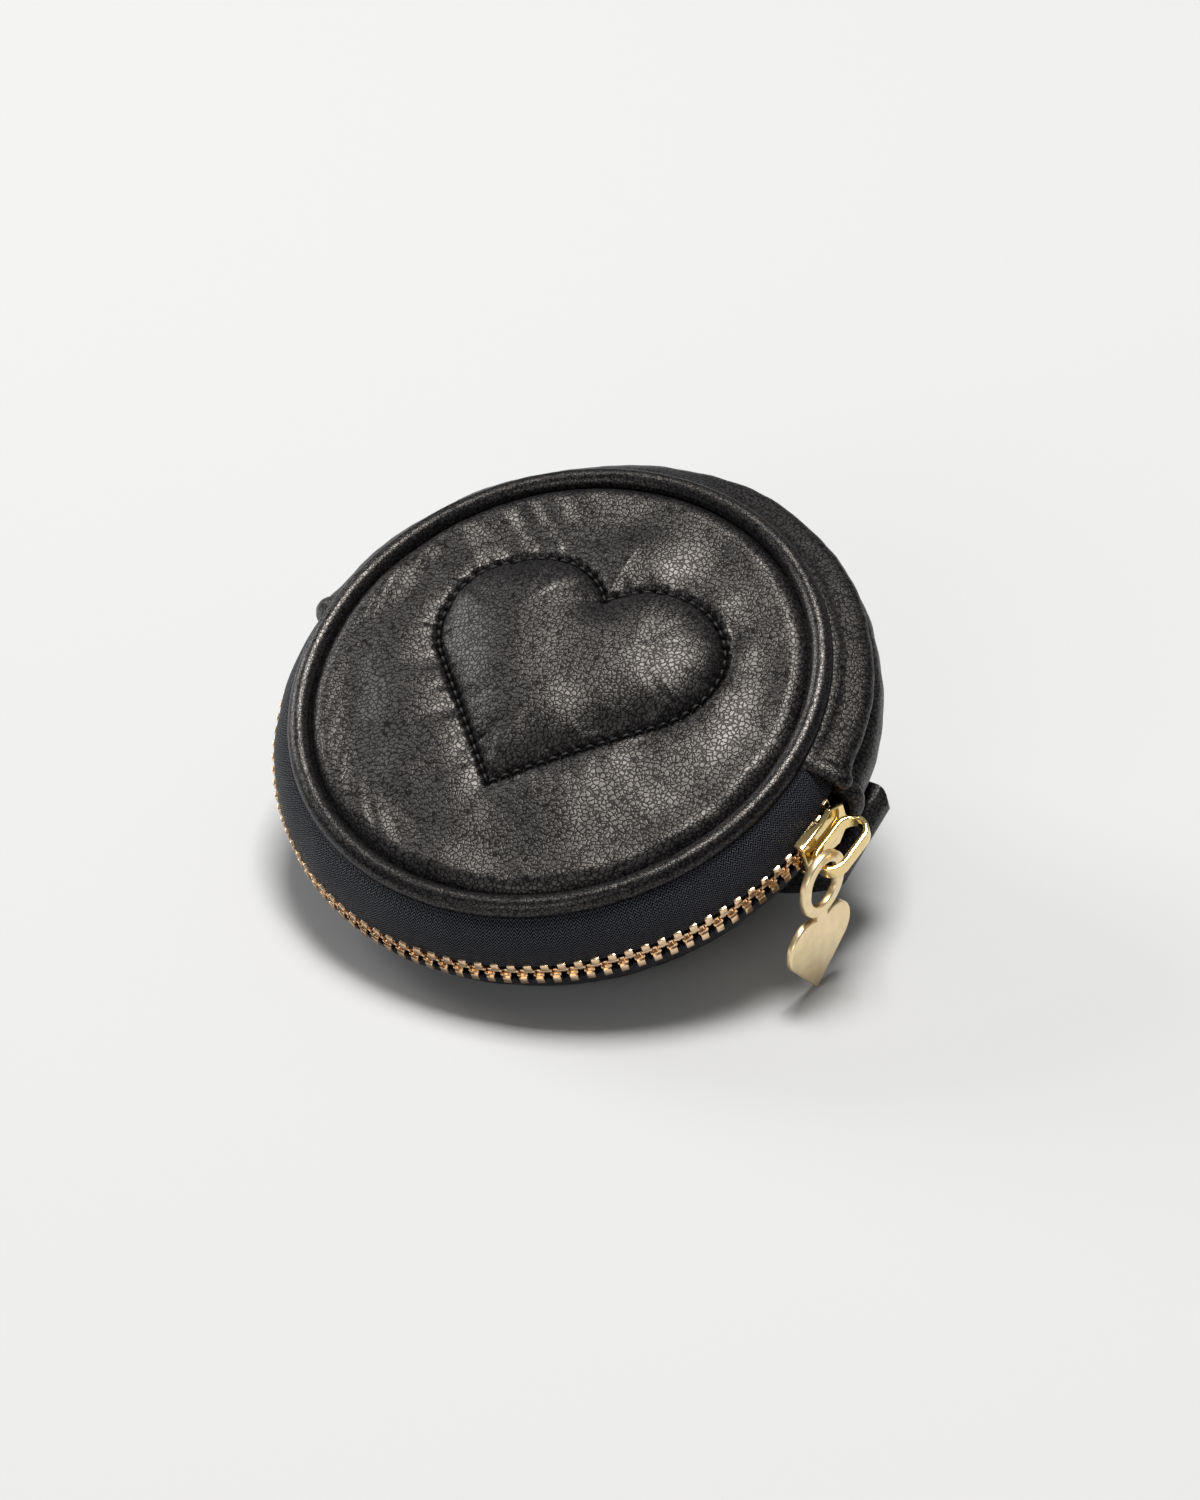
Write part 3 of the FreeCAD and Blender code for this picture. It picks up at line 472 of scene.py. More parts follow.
SEAM_STEP = 0.15
SEAM = heart_points(SEAM_STEP)
SEAM_LENGTH = sum(np.linalg.norm(a[0] - b[0]) for a, b in zip(SEAM, SEAM[1:] + SEAM[:1]))
STITCH_COUNT = round(SEAM_LENGTH / STITCH_PITCH)
STITCH_STEP = len(SEAM) * SEAM_STEP / STITCH_COUNT
seam_tree = KDTree(len(SEAM))
for index, (point, _) in enumerate(SEAM):
    seam_tree.insert((point[0], point[1], 0), index)
seam_tree.balance()


def crown_height(radius, crown):
    """Height of a face's crown above its edge, for a panel on a dome."""
    dome = (PANEL_RADIUS**2 + crown**2) / (2 * crown)
    return np.sqrt(dome**2 - np.minimum(radius, PANEL_RADIUS) ** 2) - (dome - crown)


# The quilting, in millimetres: its puffs inside and outside the heart, each with its reach from the seam; the
# groove of the seam with the share by which single stitches dent it; the roll at the piping; how far the
# whole field is pulled down by the stitching; and the drop of its edge.
INNER_PUFF, INNER_REACH = 3.6, 4.0
OUTER_PUFF, OUTER_REACH = 1.6, 3.6
GROOVE_DEPTH, GROOVE_WIDTH, GROOVE_DENT = 0.8, 0.65, 0.45
RIM_ROLL = 3.2
FIELD_SINK, FIELD_RAMP = 1.3, 9
EDGE_SINK, EDGE_RAMP = 0.2, 1.0

# Noise of the front, as height, size of its features and seed. The puckers, fine puckers and folds run out
# from the seam; the creases lie at the upper left, along CREASE_WAY; the gathers are at the piping.
PUCKER, FINE_PUCKER, FOLD = (0.5, 2.3, 1), (0.2, 1.2, 2), (0.8, 5.5, 7)
SWELL, DIMPLE = (0.6, 13, 3), (0.08, 4.5, 4)
CREASE, GATHER = (0.45, 3.0, 5), (0.16, 3.6, 6)
PUCKER_STRETCH, FINE_STRETCH, FOLD_STRETCH = 0.3, 0.4, 0.2
PUCKER_REACH, PUCKER_RAMP = 3.2, (0.1, 1.2)
FOLD_REACH, FOLD_RAMP = 5.5, (0.2, 2.5)
CREASE_PLACE, CREASE_RAMP = (-27, 21), (24, 6)
CREASE_WAY, CREASE_STRETCH = (0.5, 0.87), 0.28
GATHER_STRETCH, GATHER_RAMP = 0.25, (9, 1)
INSIDE_SHIFT = 9.0  # sets the puckers inside the heart apart from those outside


def edge_places(x, y):
    """Places for noise that runs in from the panel's edge, by arc length and distance from the middle."""
    radius = np.hypot(x, y)
    return np.stack([np.arctan2(y, x) * radius, radius * GATHER_STRETCH, np.zeros_like(x)], axis=1)


def near_edge(radius, start, full):
    """0 at start millimetres inside the panel's edge and 1 at full millimetres inside it."""
    return smooth_step(PANEL_RADIUS - start, PANEL_RADIUS - full, radius)


def quilt_height(x, y):
    """Height of the quilted front over the middle of the chain."""
    radius = np.hypot(x, y)
    found = [seam_tree.find((px, py, 0)) for px, py in zip(x, y)]
    along = np.array([f[1] for f in found]) * SEAM_STEP
    away = np.array([f[2] for f in found])
    inside = heart_inside(x, y)
    flat = np.stack([x, y, np.zeros_like(x)], axis=1)
    field = near_edge(radius, 0, FIELD_RAMP)
    base = HALF_DEPTH + crown_height(radius, FRONT_CROWN) - FIELD_SINK * field
    inner_puff = INNER_PUFF * (1 - np.exp(-away / INNER_REACH))
    outer_puff = OUTER_PUFF * (1 - np.exp(-away / OUTER_REACH))
    puff = np.where(inside, inner_puff, outer_puff)
    rim = 1 - (1 - np.clip((PANEL_RADIUS - radius) / RIM_ROLL, 0, 1)) ** 2
    dents = 1 + GROOVE_DENT * np.cos(ARC * along / STITCH_STEP)
    groove = -GROOVE_DEPTH * np.exp(-((away / GROOVE_WIDTH) ** 2)) * dents
    side = np.where(inside, INSIDE_SHIFT, 0.0)
    wiggle = fuzz(np.stack([along, away * PUCKER_STRETCH, side], axis=1), *PUCKER)
    finer = fuzz(np.stack([along, away * FINE_STRETCH, side], axis=1), *FINE_PUCKER)
    folds = fuzz(np.stack([along, away * FOLD_STRETCH, side], axis=1), *FOLD)
    pucker = (wiggle + finer) * np.exp(-away / PUCKER_REACH) * smooth_step(*PUCKER_RAMP, away)
    pucker = pucker + folds * np.exp(-away / FOLD_REACH) * smooth_step(*FOLD_RAMP, away)
    soft = fuzz(flat, *SWELL) + fuzz(flat, *DIMPLE)
    way_x, way_y = CREASE_WAY
    turned = np.stack(
        [x * way_x + y * way_y, (y * way_x - x * way_y) * CREASE_STRETCH, np.zeros_like(x)], axis=1)
    from_creases = np.hypot(x - CREASE_PLACE[0], y - CREASE_PLACE[1])
    creases = fuzz(turned, *CREASE) * smooth_step(*CREASE_RAMP, from_creases)
    gather = fuzz(edge_places(x, y), *GATHER) * near_edge(radius, *GATHER_RAMP)
    sink = -EDGE_SINK * near_edge(radius, EDGE_RAMP, 0)
    return base + (puff + groove) * rim + pucker + (soft + creases) * rim + gather * rim + sink


PANEL_REACH = PANEL_RADIUS + 0.5


def disc(name, height, cells, reach):
    """A round sheet at height(x, y) over the chain's plane, on a square grid drawn out to a disc."""
    line = np.linspace(-1, 1, cells + 1)
    across, up = (g.ravel() for g in np.meshgrid(line, line, indexing="ij"))
    wide = np.abs(across) > np.abs(up)
    radius = np.where(wide, across, up)
    safe = np.where(radius == 0, 1, radius)
    turn = np.where(wide, pi / 4 * up / safe, pi / 2 - pi / 4 * across / safe)
    x, y = reach * radius * np.cos(turn), reach * radius * np.sin(turn)
    vertices = np.stack([x, y, height(x, y)], axis=1)
    faces = [f[::-1] for f in grid_faces(cells + 1, cells + 1)]
    return new_object(name, vertices, faces)


def with_front(piece):
    """Bake a piece of the front's transform into its mesh."""
    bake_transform(piece)


def front_face():
    """The quilted skin of the front."""
    face = disc("quilted_front", quilt_height, 300, PANEL_REACH)
    thicken(face, LEATHER_SKIN)
    paint(face, BLACK)
    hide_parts("front_panel")
    with_front(face)


# the quilting thread: its own radius, its rise in the middle of a stitch, how far its ends go in, and the
# shares of the pitch at which a stitch starts and ends
STITCH_GIRTH, STITCH_LIFT, STITCH_SINK = 0.27, 1.15, 0.1
STITCH_ENDS = (0.04, 0.96)


def stitch_run(pairs, normals, girth, lift, sink):
    """Stitches between pairs of points: each a bowed thread whose ends dive into the leather."""
    vertices, faces = [], []
    sides, steps = 7, 7
    for (start, end), normal in zip(pairs, normals):
        run = end - start
        length = np.linalg.norm(run)
        way = run / length
        side = np.cross(normal, way)
        first = len(vertices)
        for step in range(steps + 1):
            share = step / steps
            bow = 1 - (2 * share - 1) ** 4
            middle = start + run * share + normal * (lift * bow - sink * (1 - bow))
            for k in range(sides):
                turn = ARC * k / sides
                vertices.append(middle + (side * cos(turn) + normal * sin(turn)) * girth)
        for step in range(steps):
            for k in range(sides):
                a = first + step * sides + k
                b = first + step * sides + (k + 1) % sides
                faces.append((a, b, b + sides, a + sides))
    return np.array(vertices), faces


def quilt_stitches():
    """Black thread in the groove of the quilting, diving at the needle holes."""
    spots = np.array([p for p, _ in SEAM])
    pairs, normals = [], []
    for k in range(STITCH_COUNT):
        ends = []
        for share in STITCH_ENDS:
            x, y = spots[round((k + share) * len(SEAM) / STITCH_COUNT) % len(SEAM)]
            z = quilt_height(np.array([x]), np.array([y]))[0]
            ends.append(np.array([x, y, z]))
        pairs.append(ends)
        normals.append(np.array([0.0, 0.0, 1.0]))
    vertices, faces = stitch_run(pairs, normals, STITCH_GIRTH, STITCH_LIFT, STITCH_SINK)
    thread = new_object("quilt_thread", vertices, faces)
    paint(thread, THREAD)
    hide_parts("quilt_stitching")
    with_front(thread)


# ---------------------------------------------------------------- plain back

# Noise of the plain back, as height, size of its features and seed, and where its parts start and end inside
# the panel's edge. Its rim is turned down, and the whole skin lies a little inside the solid's face.
BACK_SWELL, BACK_DIMPLE, BACK_GATHER = (0.3, 12, 13), (0.1, 5, 14), (0.3, 3.4, 16)
BACK_GATHER_RAMP, BACK_RIM = (8, 1), 6
BACK_TURN_DOWN, BACK_TURN_RAMP = 0.8, 1.6
BACK_INSET = 0.2


def back_height(x, y):
    """Height of the plain back, which is below the chain's plane."""
    radius = np.hypot(x, y)
    flat = np.stack([x, y, np.zeros_like(x)], axis=1)
    gather = fuzz(edge_places(x, y), *BACK_GATHER) * near_edge(radius, *BACK_GATHER_RAMP)
    soft = fuzz(flat, *BACK_SWELL) + fuzz(flat, *BACK_DIMPLE)
    rim = near_edge(radius, 0, BACK_RIM)
    sink = BACK_TURN_DOWN * near_edge(radius, BACK_TURN_RAMP, 0)
    face = -(HALF_DEPTH + crown_height(radius, BACK_CROWN))
    return face - (soft * rim + gather * rim) + sink + BACK_INSET


def back_face():
    """The plain skin of the back."""
    face = disc("plain_back", back_height, 200, PANEL_REACH)
    thicken(face, LEATHER_SKIN, 1)
    paint(face, BLACK)
    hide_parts("back_panel")
    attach(face, "back")


# ---------------------------------------------------------------- piping

# the piping's kinks, with the ranges of their depth and width and the turn round the cord where they are
# deepest, and its lumps
KINKS, KINK_DEPTH, KINK_WIDTH, KINK_TURN = 16, (0.02, 0.08), (0.35, 0.8), 0.6
LUMP, LUMP_SCALE = 0.07, 9


def piping(name, side, node, seed):
    """A leather-covered cord with small kinks where it rounds the curve."""
    around, about = 720, 28
    turns = np.linspace(0, ARC, around, endpoint=False)
    kinks = np.zeros(around)
    draw = np.random.RandomState(seed)
    for _ in range(KINKS):
        place, depth = draw.uniform(0, ARC), draw.uniform(*KINK_DEPTH)
        gap = (turns - place + pi) % ARC - pi
        kinks += depth * np.exp(-((gap * PIPING_RING / draw.uniform(*KINK_WIDTH)) ** 2))
    vertices = []
    for i, turn in enumerate(turns):
        spot = np.array([cos(turn), sin(turn), 0.0])
        lump = LUMP * noise.noise(Vector(spot * LUMP_SCALE))
        for k in range(about):
            round_turn = ARC * k / about
            girth = PIPING_GIRTH + lump - kinks[i] * (0.5 + 0.5 * cos(round_turn - KINK_TURN))
            reach = PIPING_RING + girth * cos(round_turn)
            height = side * (HALF_DEPTH + girth * sin(round_turn))
            vertices.append([spot[0] * reach, spot[1] * reach, height])
    faces = grid_faces(around, about, wrap_columns=True, wrap_rows=True)
    if side > 0:
        faces = [f[::-1] for f in faces]
    tube = new_object(name, vertices, faces)
    paint(tube, PIPING_LEATHER)
    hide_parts(node)
    return tube


# ---------------------------------------------------------------- gusset

# The gusset's wall gets lower by SLIM towards the left, over the turns of SLIM_TURNS in degrees. It bulges
# between seams that lie BULGE_INSET inside SEAM_RADIUS. WALL_ARC is the length of a degree.
SLIM, SLIM_TURNS = 0.9, (85, 125)
BULGE_INSET, BULGE_POWER = 0.6, 2.4
WALL_ARC = 0.9
# Waves across the wall, as height, place (0 in the middle, 1 at the front seam) and width; they fade out
# between the turns of WAVE_TURNS. At SEAM_SHARE the wall starts to turn in at the seams.
WALL_WAVES = ((1.3, 0.64, 0.12), (-2.1, 0.34, 0.15), (-0.5, 0.88, 0.08))
WAVE_TURNS = (105, 70)
SEAM_SHARE, SEAM_TUCK = 0.93, 1.4
# Noise of the wall, as height, size of its features and seed, and the stretch of its folds along and across.
WALL_SWELL, LONG_FOLD, CROSS_FOLD = (0.3, 15, 21), (0.25, 2.6, 22), (0.2, 3.4, 23)
LONG_STRETCH, CROSS_STRETCH = 0.22, 0.3

# The hood over each end of the zipper: its edge's turns in the middle and at the sides, its swell with the
# length that it takes, the stitched groove with its distance from the edge, its width, the length of a stitch
# and the share by which it dents, the rounding of the folded edge, and the share across where the hood fades.
HOOD_MIDDLE, HOOD_SIDE, HOOD_POWER = 2.9, 1.2, 1.5
HOOD_SWELL, HOOD_LENGTH = 1.6, 2.6
HOOD_GROOVE, HOOD_SEAM, HOOD_SEAM_WIDTH, HOOD_STITCH, HOOD_DENT = 0.7, 2.3, 0.5, 2.0, 0.25
HOOD_FOLD, HOOD_FOLD_LENGTH = 1.3, 1.0
HOOD_FADE = 0.75


def gusset_radius(turn, across):
    """Outer radius of the gusset at a turn in degrees and a share across from back (-1) to front (1)."""
    ring = GUSSET_RING - SLIM * smooth_step(*SLIM_TURNS, turn)
    seam = SEAM_RADIUS - BULGE_INSET
    bulge = seam + (ring - seam) * (1 - np.abs(across) ** BULGE_POWER)
    depth = across * NOISE_DEPTH
    rad = np.radians(turn)
    spot = np.stack([np.cos(rad) * NOISE_RING, np.sin(rad) * NOISE_RING, depth], axis=1)
    waves = sum(height * np.exp(-(((across - place) / width) ** 2)) for height, place, width in WALL_WAVES)
    waves = waves * smooth_step(*WAVE_TURNS, turn)
    along = turn * WALL_ARC
    long_way = np.stack([along * LONG_STRETCH, depth, np.zeros_like(turn)], axis=1)
    cross_way = np.stack([along, depth * CROSS_STRETCH, np.zeros_like(turn)], axis=1)
    soft = fuzz(spot, *WALL_SWELL) + fuzz(long_way, *LONG_FOLD) + fuzz(cross_way, *CROSS_FOLD)
    inner = 1 - smooth_step(SEAM_SHARE, 1.0, np.abs(across))
    return bulge + (waves + soft) * inner


def gusset():
    """The leather side wall, with a turned edge over each end of the zipper."""
    columns, rows = 520, 64
    t, a = np.meshgrid(np.linspace(0, 1, columns), np.linspace(-1, 1, rows), indexing="ij")
    t, a = t.ravel(), a.ravel()
    sideways = np.abs(a)
    low = HOOD_MIDDLE + (HOOD_SIDE - HOOD_MIDDLE) * sideways**HOOD_POWER
    turn = low + (180 - 2 * low) * t
    from_end = np.minimum(turn - low, 180 - low - turn) * np.pi / 180 * GUSSET_RING
    clear = 1 - smooth_step(HOOD_FADE, 1.0, sideways)
    hood = HOOD_SWELL * np.exp(-((from_end / HOOD_LENGTH) ** 2)) * clear
    dents = 1 - HOOD_DENT + HOOD_DENT * np.cos(ARC * a * SEAM_HEIGHT / HOOD_STITCH)
    groove = -HOOD_GROOVE * np.exp(-(((from_end - HOOD_SEAM) / HOOD_SEAM_WIDTH) ** 2)) * clear * dents
    fold = -HOOD_FOLD * (1 - np.sqrt(1 - np.clip(1 - from_end / HOOD_FOLD_LENGTH, 0, 1) ** 2))
    tuck = SEAM_TUCK * smooth_step(SEAM_SHARE, 1.0, sideways)
    radius = gusset_radius(turn, a) + hood + groove + fold - tuck
    height = a * (SEAM_HEIGHT + TUCK)
    rad = np.radians(turn)
    vertices = np.stack([radius * np.cos(rad), radius * np.sin(rad), height], axis=1)
    wall = new_object("gusset_wall", vertices, grid_faces(columns, rows))
    thicken(wall, GUSSET_SKIN)
    paint(wall, BLACK)
    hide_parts("gusset")
    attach(wall, "back")


# ---------------------------------------------------------------- zipper

# The tape: how far its ends lie inside the mouth's ends in degrees, the height of its edge where the zipper
# is closed and how much that grows where it is open, how far it bulges past the chain ring, and its noise.
TAPE_END = 0.3
TAPE_EDGE, TAPE_PART = 1.75, OPEN_GAP + 0.2
TAPE_LIFT = 0.3
TAPE_SWELL, TAPE_SWELL_SIZE, TAPE_SEED, TAPE_STRETCH = 0.3, 7, 31, 1.3


def bulge_girth(ring):
    """Radius of the arc that bulges from the seams out to ring."""
    rise = ring - SEAM_RADIUS
    return (SEAM_HEIGHT**2 + rise**2) / (2 * rise)


def bulge_radius(ring, height):
    """Distance of that arc from the purse's middle at a height; it goes on under the piping."""
    girth = bulge_girth(ring)
    tuck = np.maximum(height - SEAM_HEIGHT, 0)
    return ring - girth + np.sqrt(girth**2 - np.minimum(height, SEAM_HEIGHT) ** 2) - TUCK_SLOPE * tuck


def spread_share(turn):
    """Share of the full spread of the rows of teeth at a turn in degrees."""
    ramp = degrees(SLIDER_LENGTH * SPREAD_RAMP / CHAIN_RING)
    return np.clip((turn + SLIDER_PLACE) / ramp, 0, 1)


def tape(side, name, node):
    """Half of the zipper's tape, from its edge at the teeth to the seam under the piping."""
    columns, rows = 620, 25
    turn = np.linspace(-180 - MOUTH_END + TAPE_END, MOUTH_END - TAPE_END, columns)
    t, s = np.meshgrid(turn, np.linspace(0, 1, rows), indexing="ij")
    t, s = t.ravel(), s.ravel()
    inner = TAPE_EDGE + TAPE_PART * spread_share(t)
    height = inner + (SEAM_HEIGHT + TUCK - inner) * s
    rad = np.radians(t)
    spot = np.stack([np.cos(rad) * NOISE_RING, np.sin(rad) * NOISE_RING, height * TAPE_STRETCH], axis=1)
    soft = fuzz(spot, TAPE_SWELL, TAPE_SWELL_SIZE, TAPE_SEED + side) * np.sin(np.pi * s)
    radius = bulge_radius(CHAIN_RING + TAPE_LIFT, height) + soft
    vertices = np.stack([radius * np.cos(rad), radius * np.sin(rad), side * height], axis=1)
    faces = grid_faces(columns, rows)
    if side < 0:
        faces = [f[::-1] for f in faces]
    band = new_object(name, vertices, faces)
    add_uv(band, rad * CHAIN_RING, height)
    thicken(band, TAPE_SKIN)
    paint(band, TAPE)
    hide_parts(node)
    return band


# outlines of a tooth's parts, as (along the chain, height from its plane)
LEG = ((-0.66, 1.0), (0.66, 1.0), (0.66, 2.45), (-0.66, 2.45))
ARMS = (
    (-0.66, 1.05), (-0.93, 0.5), (-0.84, 0.08), (-0.3, 0.5),
    (0.3, 0.5), (0.84, 0.08), (0.93, 0.5), (0.66, 1.05),
)
NOSE = ((-0.34, -0.5), (0.34, -0.5), (0.42, 0.6), (-0.42, 0.6))
# each part with its inner and outer face, counted from the chain ring
TOOTH_PARTS = ((LEG, -1.0, 1.0), (ARMS, -0.8, 0.8), (NOSE, -0.6, 0.35))
TOOTH_EDGE = 0.08  # size of a tooth's rounded edges
# shares of the pitch: from the mouth's ends to the stops, from the bottom stop to each row's first tooth, and
# from the last tooth to the top stop
STOP_SHARE, FRONT_START, BACK_START, LAST_SHARE = 0.4, 1.0, 1.5, 0.7


def tooth_mesh():
    """One tooth of the front row at the turn 0: a clamped leg, the head's arms and a nose between them."""
    shape = bmesh.new()
    for outline, low, high in TOOTH_PARTS:
        bottom = [shape.verts.new((low, y, z)) for y, z in outline]
        top = [shape.verts.new((high, y, z)) for y, z in outline]
        shape.faces.new(bottom)
        shape.faces.new(top)
        for k in range(len(outline)):
            after = (k + 1) % len(outline)
            shape.faces.new((bottom[k], bottom[after], top[after], top[k]))
        edges = list(dict.fromkeys(e for v in bottom + top for e in v.link_edges))
        bmesh.ops.bevel(shape, geom=edges, offset=TOOTH_EDGE, segments=2, affect="EDGES", profile=0.6)
    bmesh.ops.recalc_face_normals(shape, faces=shape.faces)
    vertices = np.array([v.co[:] for v in shape.verts])
    shape.verts.index_update()
    # the bevel lists its faces in another order each run, so they are put in one order
    faces = sorted(tuple(v.index for v in f.verts) for f in shape.faces)
    shape.free()
    return vertices, faces


def on_chain(vertices, turn, side):
    """Tooth vertices put on the chain at a turn in degrees, parted from the other row where it is open."""
    girth = bulge_girth(CHAIN_RING)
    part = spread_share(turn) * OPEN_GAP / girth
    x, y, z = vertices[:, 0] + girth, vertices[:, 1] * side, vertices[:, 2]
    out = x * cos(part) - z * sin(part)
    up = x * sin(part) + z * cos(part)
    reach = CHAIN_RING - girth + out
    rad = radians(turn)
    return np.stack([reach * cos(rad) - y * sin(rad), reach * sin(rad) + y * cos(rad), side * up], axis=1)


def teeth(side, name, node):
    """One row of teeth from the bottom stop to the top stop; the back row is half a pitch off the front's."""
    pitch = degrees(TOOTH_PITCH / CHAIN_RING)
    end_stop = -180 - MOUTH_END + STOP_SHARE * pitch
    top_stop = MOUTH_END - STOP_SHARE * pitch
    shape, faces_one = tooth_mesh()
    vertices, faces = [], []
    turn = end_stop + pitch * (FRONT_START if side > 0 else BACK_START)
    while turn < top_stop - LAST_SHARE * pitch:
        first = sum(len(v) for v in vertices)
        vertices.append(on_chain(shape, turn, side))
        faces += [tuple(first + i for i in (f if side > 0 else f[::-1])) for f in faces_one]
        turn += pitch
    row = new_object(name, np.concatenate(vertices), faces)
    paint(row, TEETH)
    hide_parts(node)
    return row


# ---------------------------------------------------------------- metal and strap

def hardware():
    """The slider, its arch and the charm, as CAD copies with rounded edges of the given radius."""
    for node, name, width, material, body, slot in (
        ("slider_body", "zipper_slider", 0.28, GOLD, "slider", "polished_gold"),
        ("slider_bridge", "slider_arch", 0.22, GOLD, "slider", "polished_gold"),
        ("heart_charm", "charm", 0.3, SATIN, "charm", "satin_gold"),
    ):
        piece = cad_copy(node, name, width)
        paint(piece, material)
        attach(piece, body)


STRAP_EDGE = 0.3  # radius of the strap's rounded edges


def strap():
    """The strap at the back and its underside, as CAD copies with rounded edges."""
    for node, name, material, slot in (
        ("back_strap", "strap_leather", STRAP_LEATHER, "black_leather"),
        ("strap_lining", "strap_under", UNDER_LEATHER, "lining_leather"),
    ):
        piece = cad_copy(node, name, STRAP_EDGE)
        paint(piece, material)
        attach(piece, "back")


# ---------------------------------------------------------------- hidden pieces

# the height of the front's lining, and the room that the wadding leaves under the skin and inside its edge
LINING_TOP, SKIN_ROOM = 8.75, 1.5
# edges of a flat copy that are longer than LONG_EDGE get EDGE_CUTS cuts, so that it can bend
LONG_EDGE, EDGE_CUTS = 6, 7


def wadding_height(x, y):
    """Height of the wadding's face: SKIN_ROOM under the skin, and pressed on the lining in the grooves."""
    return np.maximum(quilt_height(x, y) - SKIN_ROOM, LINING_TOP)


def front_wadding():
    """The front's wadding, as a thin sheet that follows the quilting from below."""
    pad = disc("padding_front", wadding_height, 120, PANEL_RADIUS - SKIN_ROOM)
    thicken(pad, WADDING_SKIN)
    paint(pad, WADDING)
    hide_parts("front_padding")
    with_front(pad)


def divide(mesh):
    """Split the long edges of a flat piece, so that it can bend."""
    shape = bmesh.new()
    shape.from_mesh(mesh)
    long_edges = [edge for edge in shape.edges if edge.calc_length() > LONG_EDGE * MM]
    bmesh.ops.subdivide_edges(shape, edges=long_edges, cuts=EDGE_CUTS, use_grid_fill=True)
    bmesh.ops.triangulate(shape, faces=shape.faces)
    shape.to_mesh(mesh)
    shape.free()


def front_followers():
    """The front's other hidden pieces, as copies of their CAD nodes with their long edges split."""
    for node, name, material, slot in (
        ("front_lining", "lining_front", LINING, "lining_fabric"),
        ("front_piping_cord", "cord_front", CORD, "piping_cord"),
        ("zipper_top_stop_front", "stop_front", TEETH, "rose_brass"),
    ):
        mesh = frame["nodes"][node].data.copy()
        divide(mesh)
        piece = bpy.data.objects.new(name, mesh)
        bpy.context.collection.objects.link(piece)
        paint(piece, material)
        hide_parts(node)
        with_front(piece)


def inner_pieces():
    """Materials of the CAD nodes that stay: linings, wadding, cord and stops."""
    for node, material in (
        ("back_lining", LINING), ("gusset_lining", LINING),
        ("back_padding", WADDING), ("back_piping_cord", CORD),
        ("zipper_top_stop_back", TEETH), ("zipper_bottom_stop", TEETH),
    ):
        thing = frame["nodes"][node]
        for place in thing.material_slots:
            place.material = material


# ---------------------------------------------------------------- studio

# The camera looks at AIM, in millimetres from the middle of the chain ring along the row's axes. It stands
# CAMERA_TURN degrees round to the right, CAMERA_RISE degrees up and CAMERA_DISTANCE millimetres off.
AIM = (9, -5, 0)
CAMERA_TURN, CAMERA_RISE, CAMERA_DISTANCE = 32, 33, 750
LENS, SENSOR, CLIP_START = 135, 36, 0.01
FLOOR_COLOUR, FLOOR_SIZE = (0.495, 0.5, 0.505, 1), 12
# the lamps' distance from the row's origin in metres, what they are turned to, and for each its name,
# direction, sizes in metres, power and colour
LAMP_DISTANCE, LAMP_TARGET = 2.2, (0, 0, 0.03)
LAMPS = (
    ("key", (-0.06, 0.14, 0.98), (0.8, 0.8), 67, (1, 0.985, 0.965)),
    ("left", (-1.0, 0.05, 0.5), (0.9, 1.1), 20, (1, 1, 1)),
    ("front", (0.1, -1.0, 0.45), (1.4, 0.9), 11, (1, 1, 1)),
)
# the sky's direction, and its strength from SKY_START (a cosine to that direction) up to straight along it
SKY_WAY, SKY_START, SKY_DIM, SKY_BRIGHT = (0.1, 0.5, 0.85), -0.5, 0.0, 0.24


def look(thing, place, target):
    """Put a camera or lamp at a place and turn it to a target."""
    thing.location = Vector(place)
    thing.rotation_euler = (Vector(target) - Vector(place)).to_track_quat("-Z", "Y").to_euler()


def camera():
    """The camera of the photograph."""
    data = bpy.data.cameras.new("camera")
    data.sensor_fit = "HORIZONTAL"
    data.sensor_width = SENSOR
    data.lens = LENS
    data.clip_start = CLIP_START
    thing = bpy.data.objects.new("camera", data)
    bpy.context.collection.objects.link(thing)
    turn, rise = radians(CAMERA_TURN), radians(CAMERA_RISE)
    back = np.array([sin(turn) * cos(rise), -cos(turn) * cos(rise), sin(rise)])
    target = CENTRE + np.array(AIM) * MM
    look(thing, target + back * CAMERA_DISTANCE * MM, target)
    bpy.context.scene.camera = thing


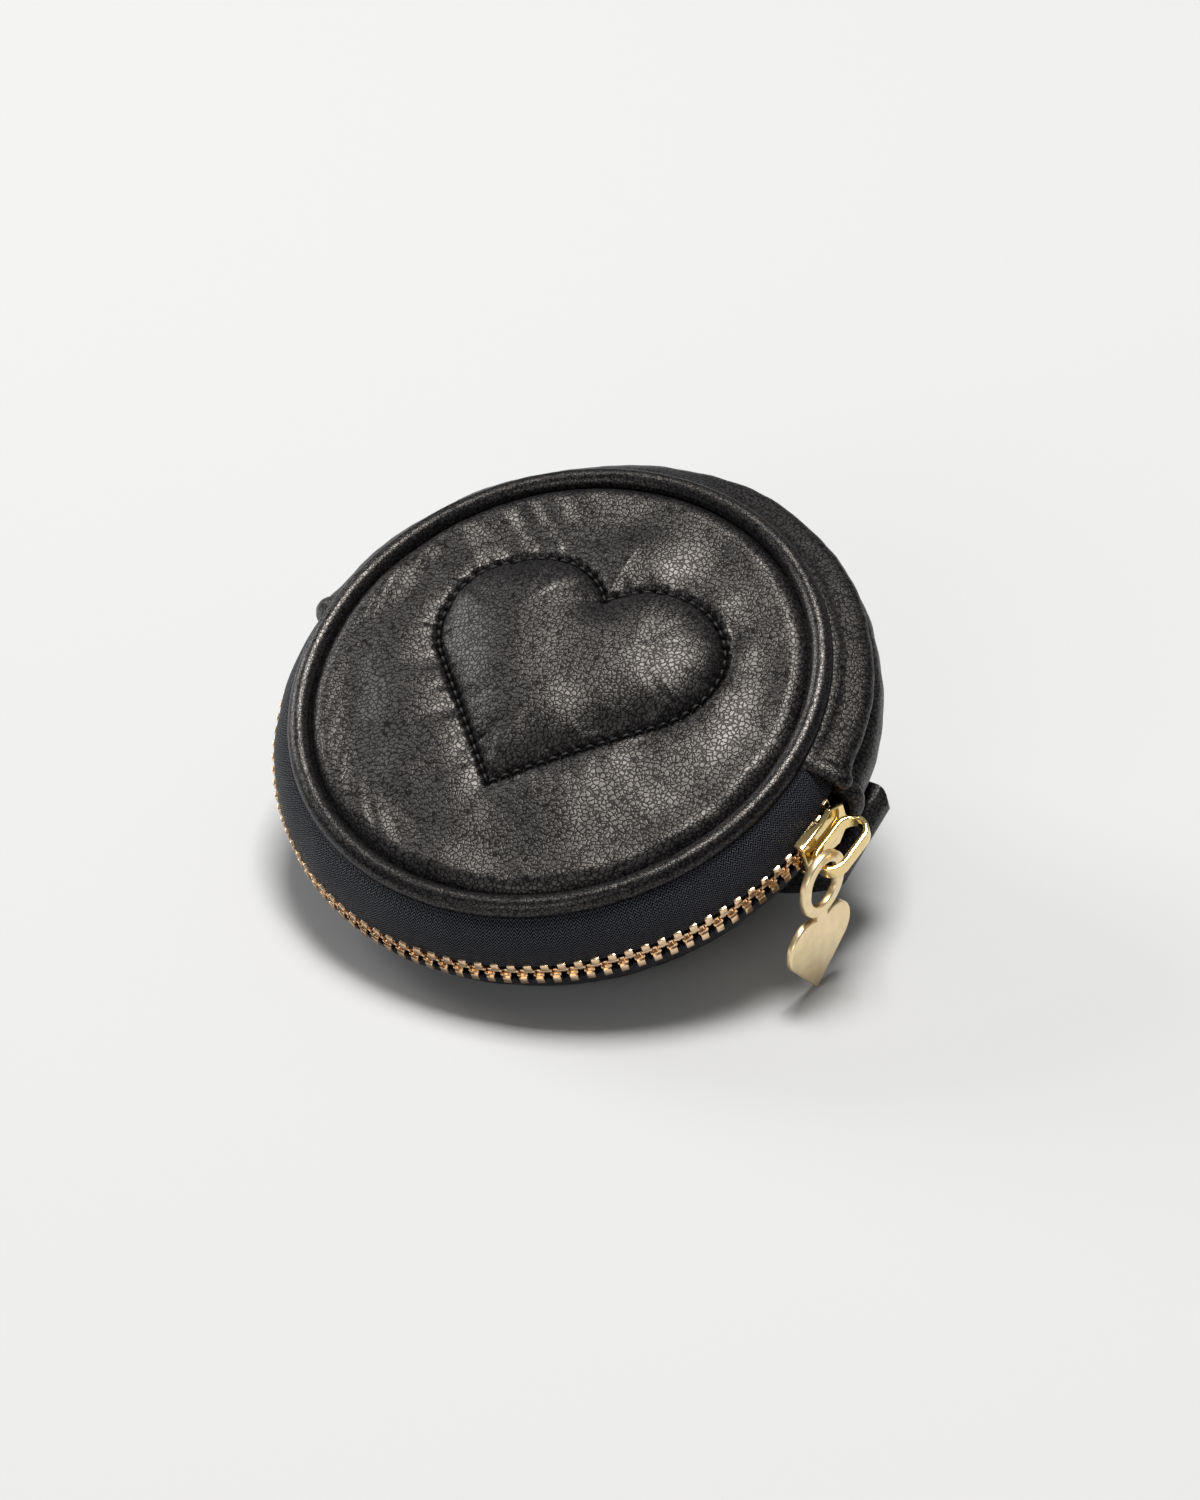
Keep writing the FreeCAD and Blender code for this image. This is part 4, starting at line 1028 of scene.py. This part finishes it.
def lamp(name, way, size, power, colour):
    """A softbox in a direction from the purse, turned to face it."""
    data = bpy.data.lights.new(name, "AREA")
    data.shape = "RECTANGLE"
    data.size, data.size_y = size
    data.energy = power
    data.color = colour
    thing = bpy.data.objects.new(name, data)
    bpy.context.collection.objects.link(thing)
    look(thing, Vector(way).normalized() * LAMP_DISTANCE, LAMP_TARGET)


def studio():
    """A pale floor under a softbox overhead, weaker ones at the left and in front, and a dim sky."""
    bpy.ops.mesh.primitive_plane_add(size=FLOOR_SIZE)
    floor = bpy.context.object
    floor.name = "floor"
    n = Nodes("floor")
    n.set(Roughness=0.9, Specular_IOR_Level=0.0)
    n.shader.inputs["Base Color"].default_value = FLOOR_COLOUR
    floor.data.materials.append(n.material)
    for row in LAMPS:
        lamp(*row)
    scene_world = bpy.data.worlds.new("studio")
    bpy.context.scene.world = scene_world
    scene_world.use_nodes = True
    tree = scene_world.node_tree
    coordinates = tree.nodes.new("ShaderNodeTexCoord")
    facing = tree.nodes.new("ShaderNodeVectorMath")
    facing.operation = "DOT_PRODUCT"
    facing.inputs[1].default_value = Vector(SKY_WAY).normalized()
    tree.links.new(coordinates.outputs["Generated"], facing.inputs[0])
    ramp = tree.nodes.new("ShaderNodeMapRange")
    ramp.inputs["From Min"].default_value = SKY_START
    ramp.inputs["From Max"].default_value = 1
    ramp.inputs["To Min"].default_value = SKY_DIM
    ramp.inputs["To Max"].default_value = SKY_BRIGHT
    tree.links.new(facing.outputs["Value"], ramp.inputs["Value"])
    background = tree.nodes["Background"]
    background.inputs["Color"].default_value = (1, 1, 1, 1)
    tree.links.new(ramp.outputs[0], background.inputs["Strength"])
    bpy.context.scene.view_settings.view_transform = "Standard"


front_face()
quilt_stitches()
back_face()
with_front(piping("front_piping_roll", 1, "front_piping", 5))
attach(piping("back_piping_roll", -1, "back_piping", 8), "back")
gusset()
with_front(tape(1, "tape_front", "zipper_tape_front"))
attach(tape(-1, "tape_back", "zipper_tape_back"), "back")
with_front(teeth(1, "teeth_front", "zipper_teeth_front"))
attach(teeth(-1, "teeth_back", "zipper_teeth_back"), "back")
hardware()
strap()
front_wadding()
front_followers()
inner_pieces()
camera()
studio()
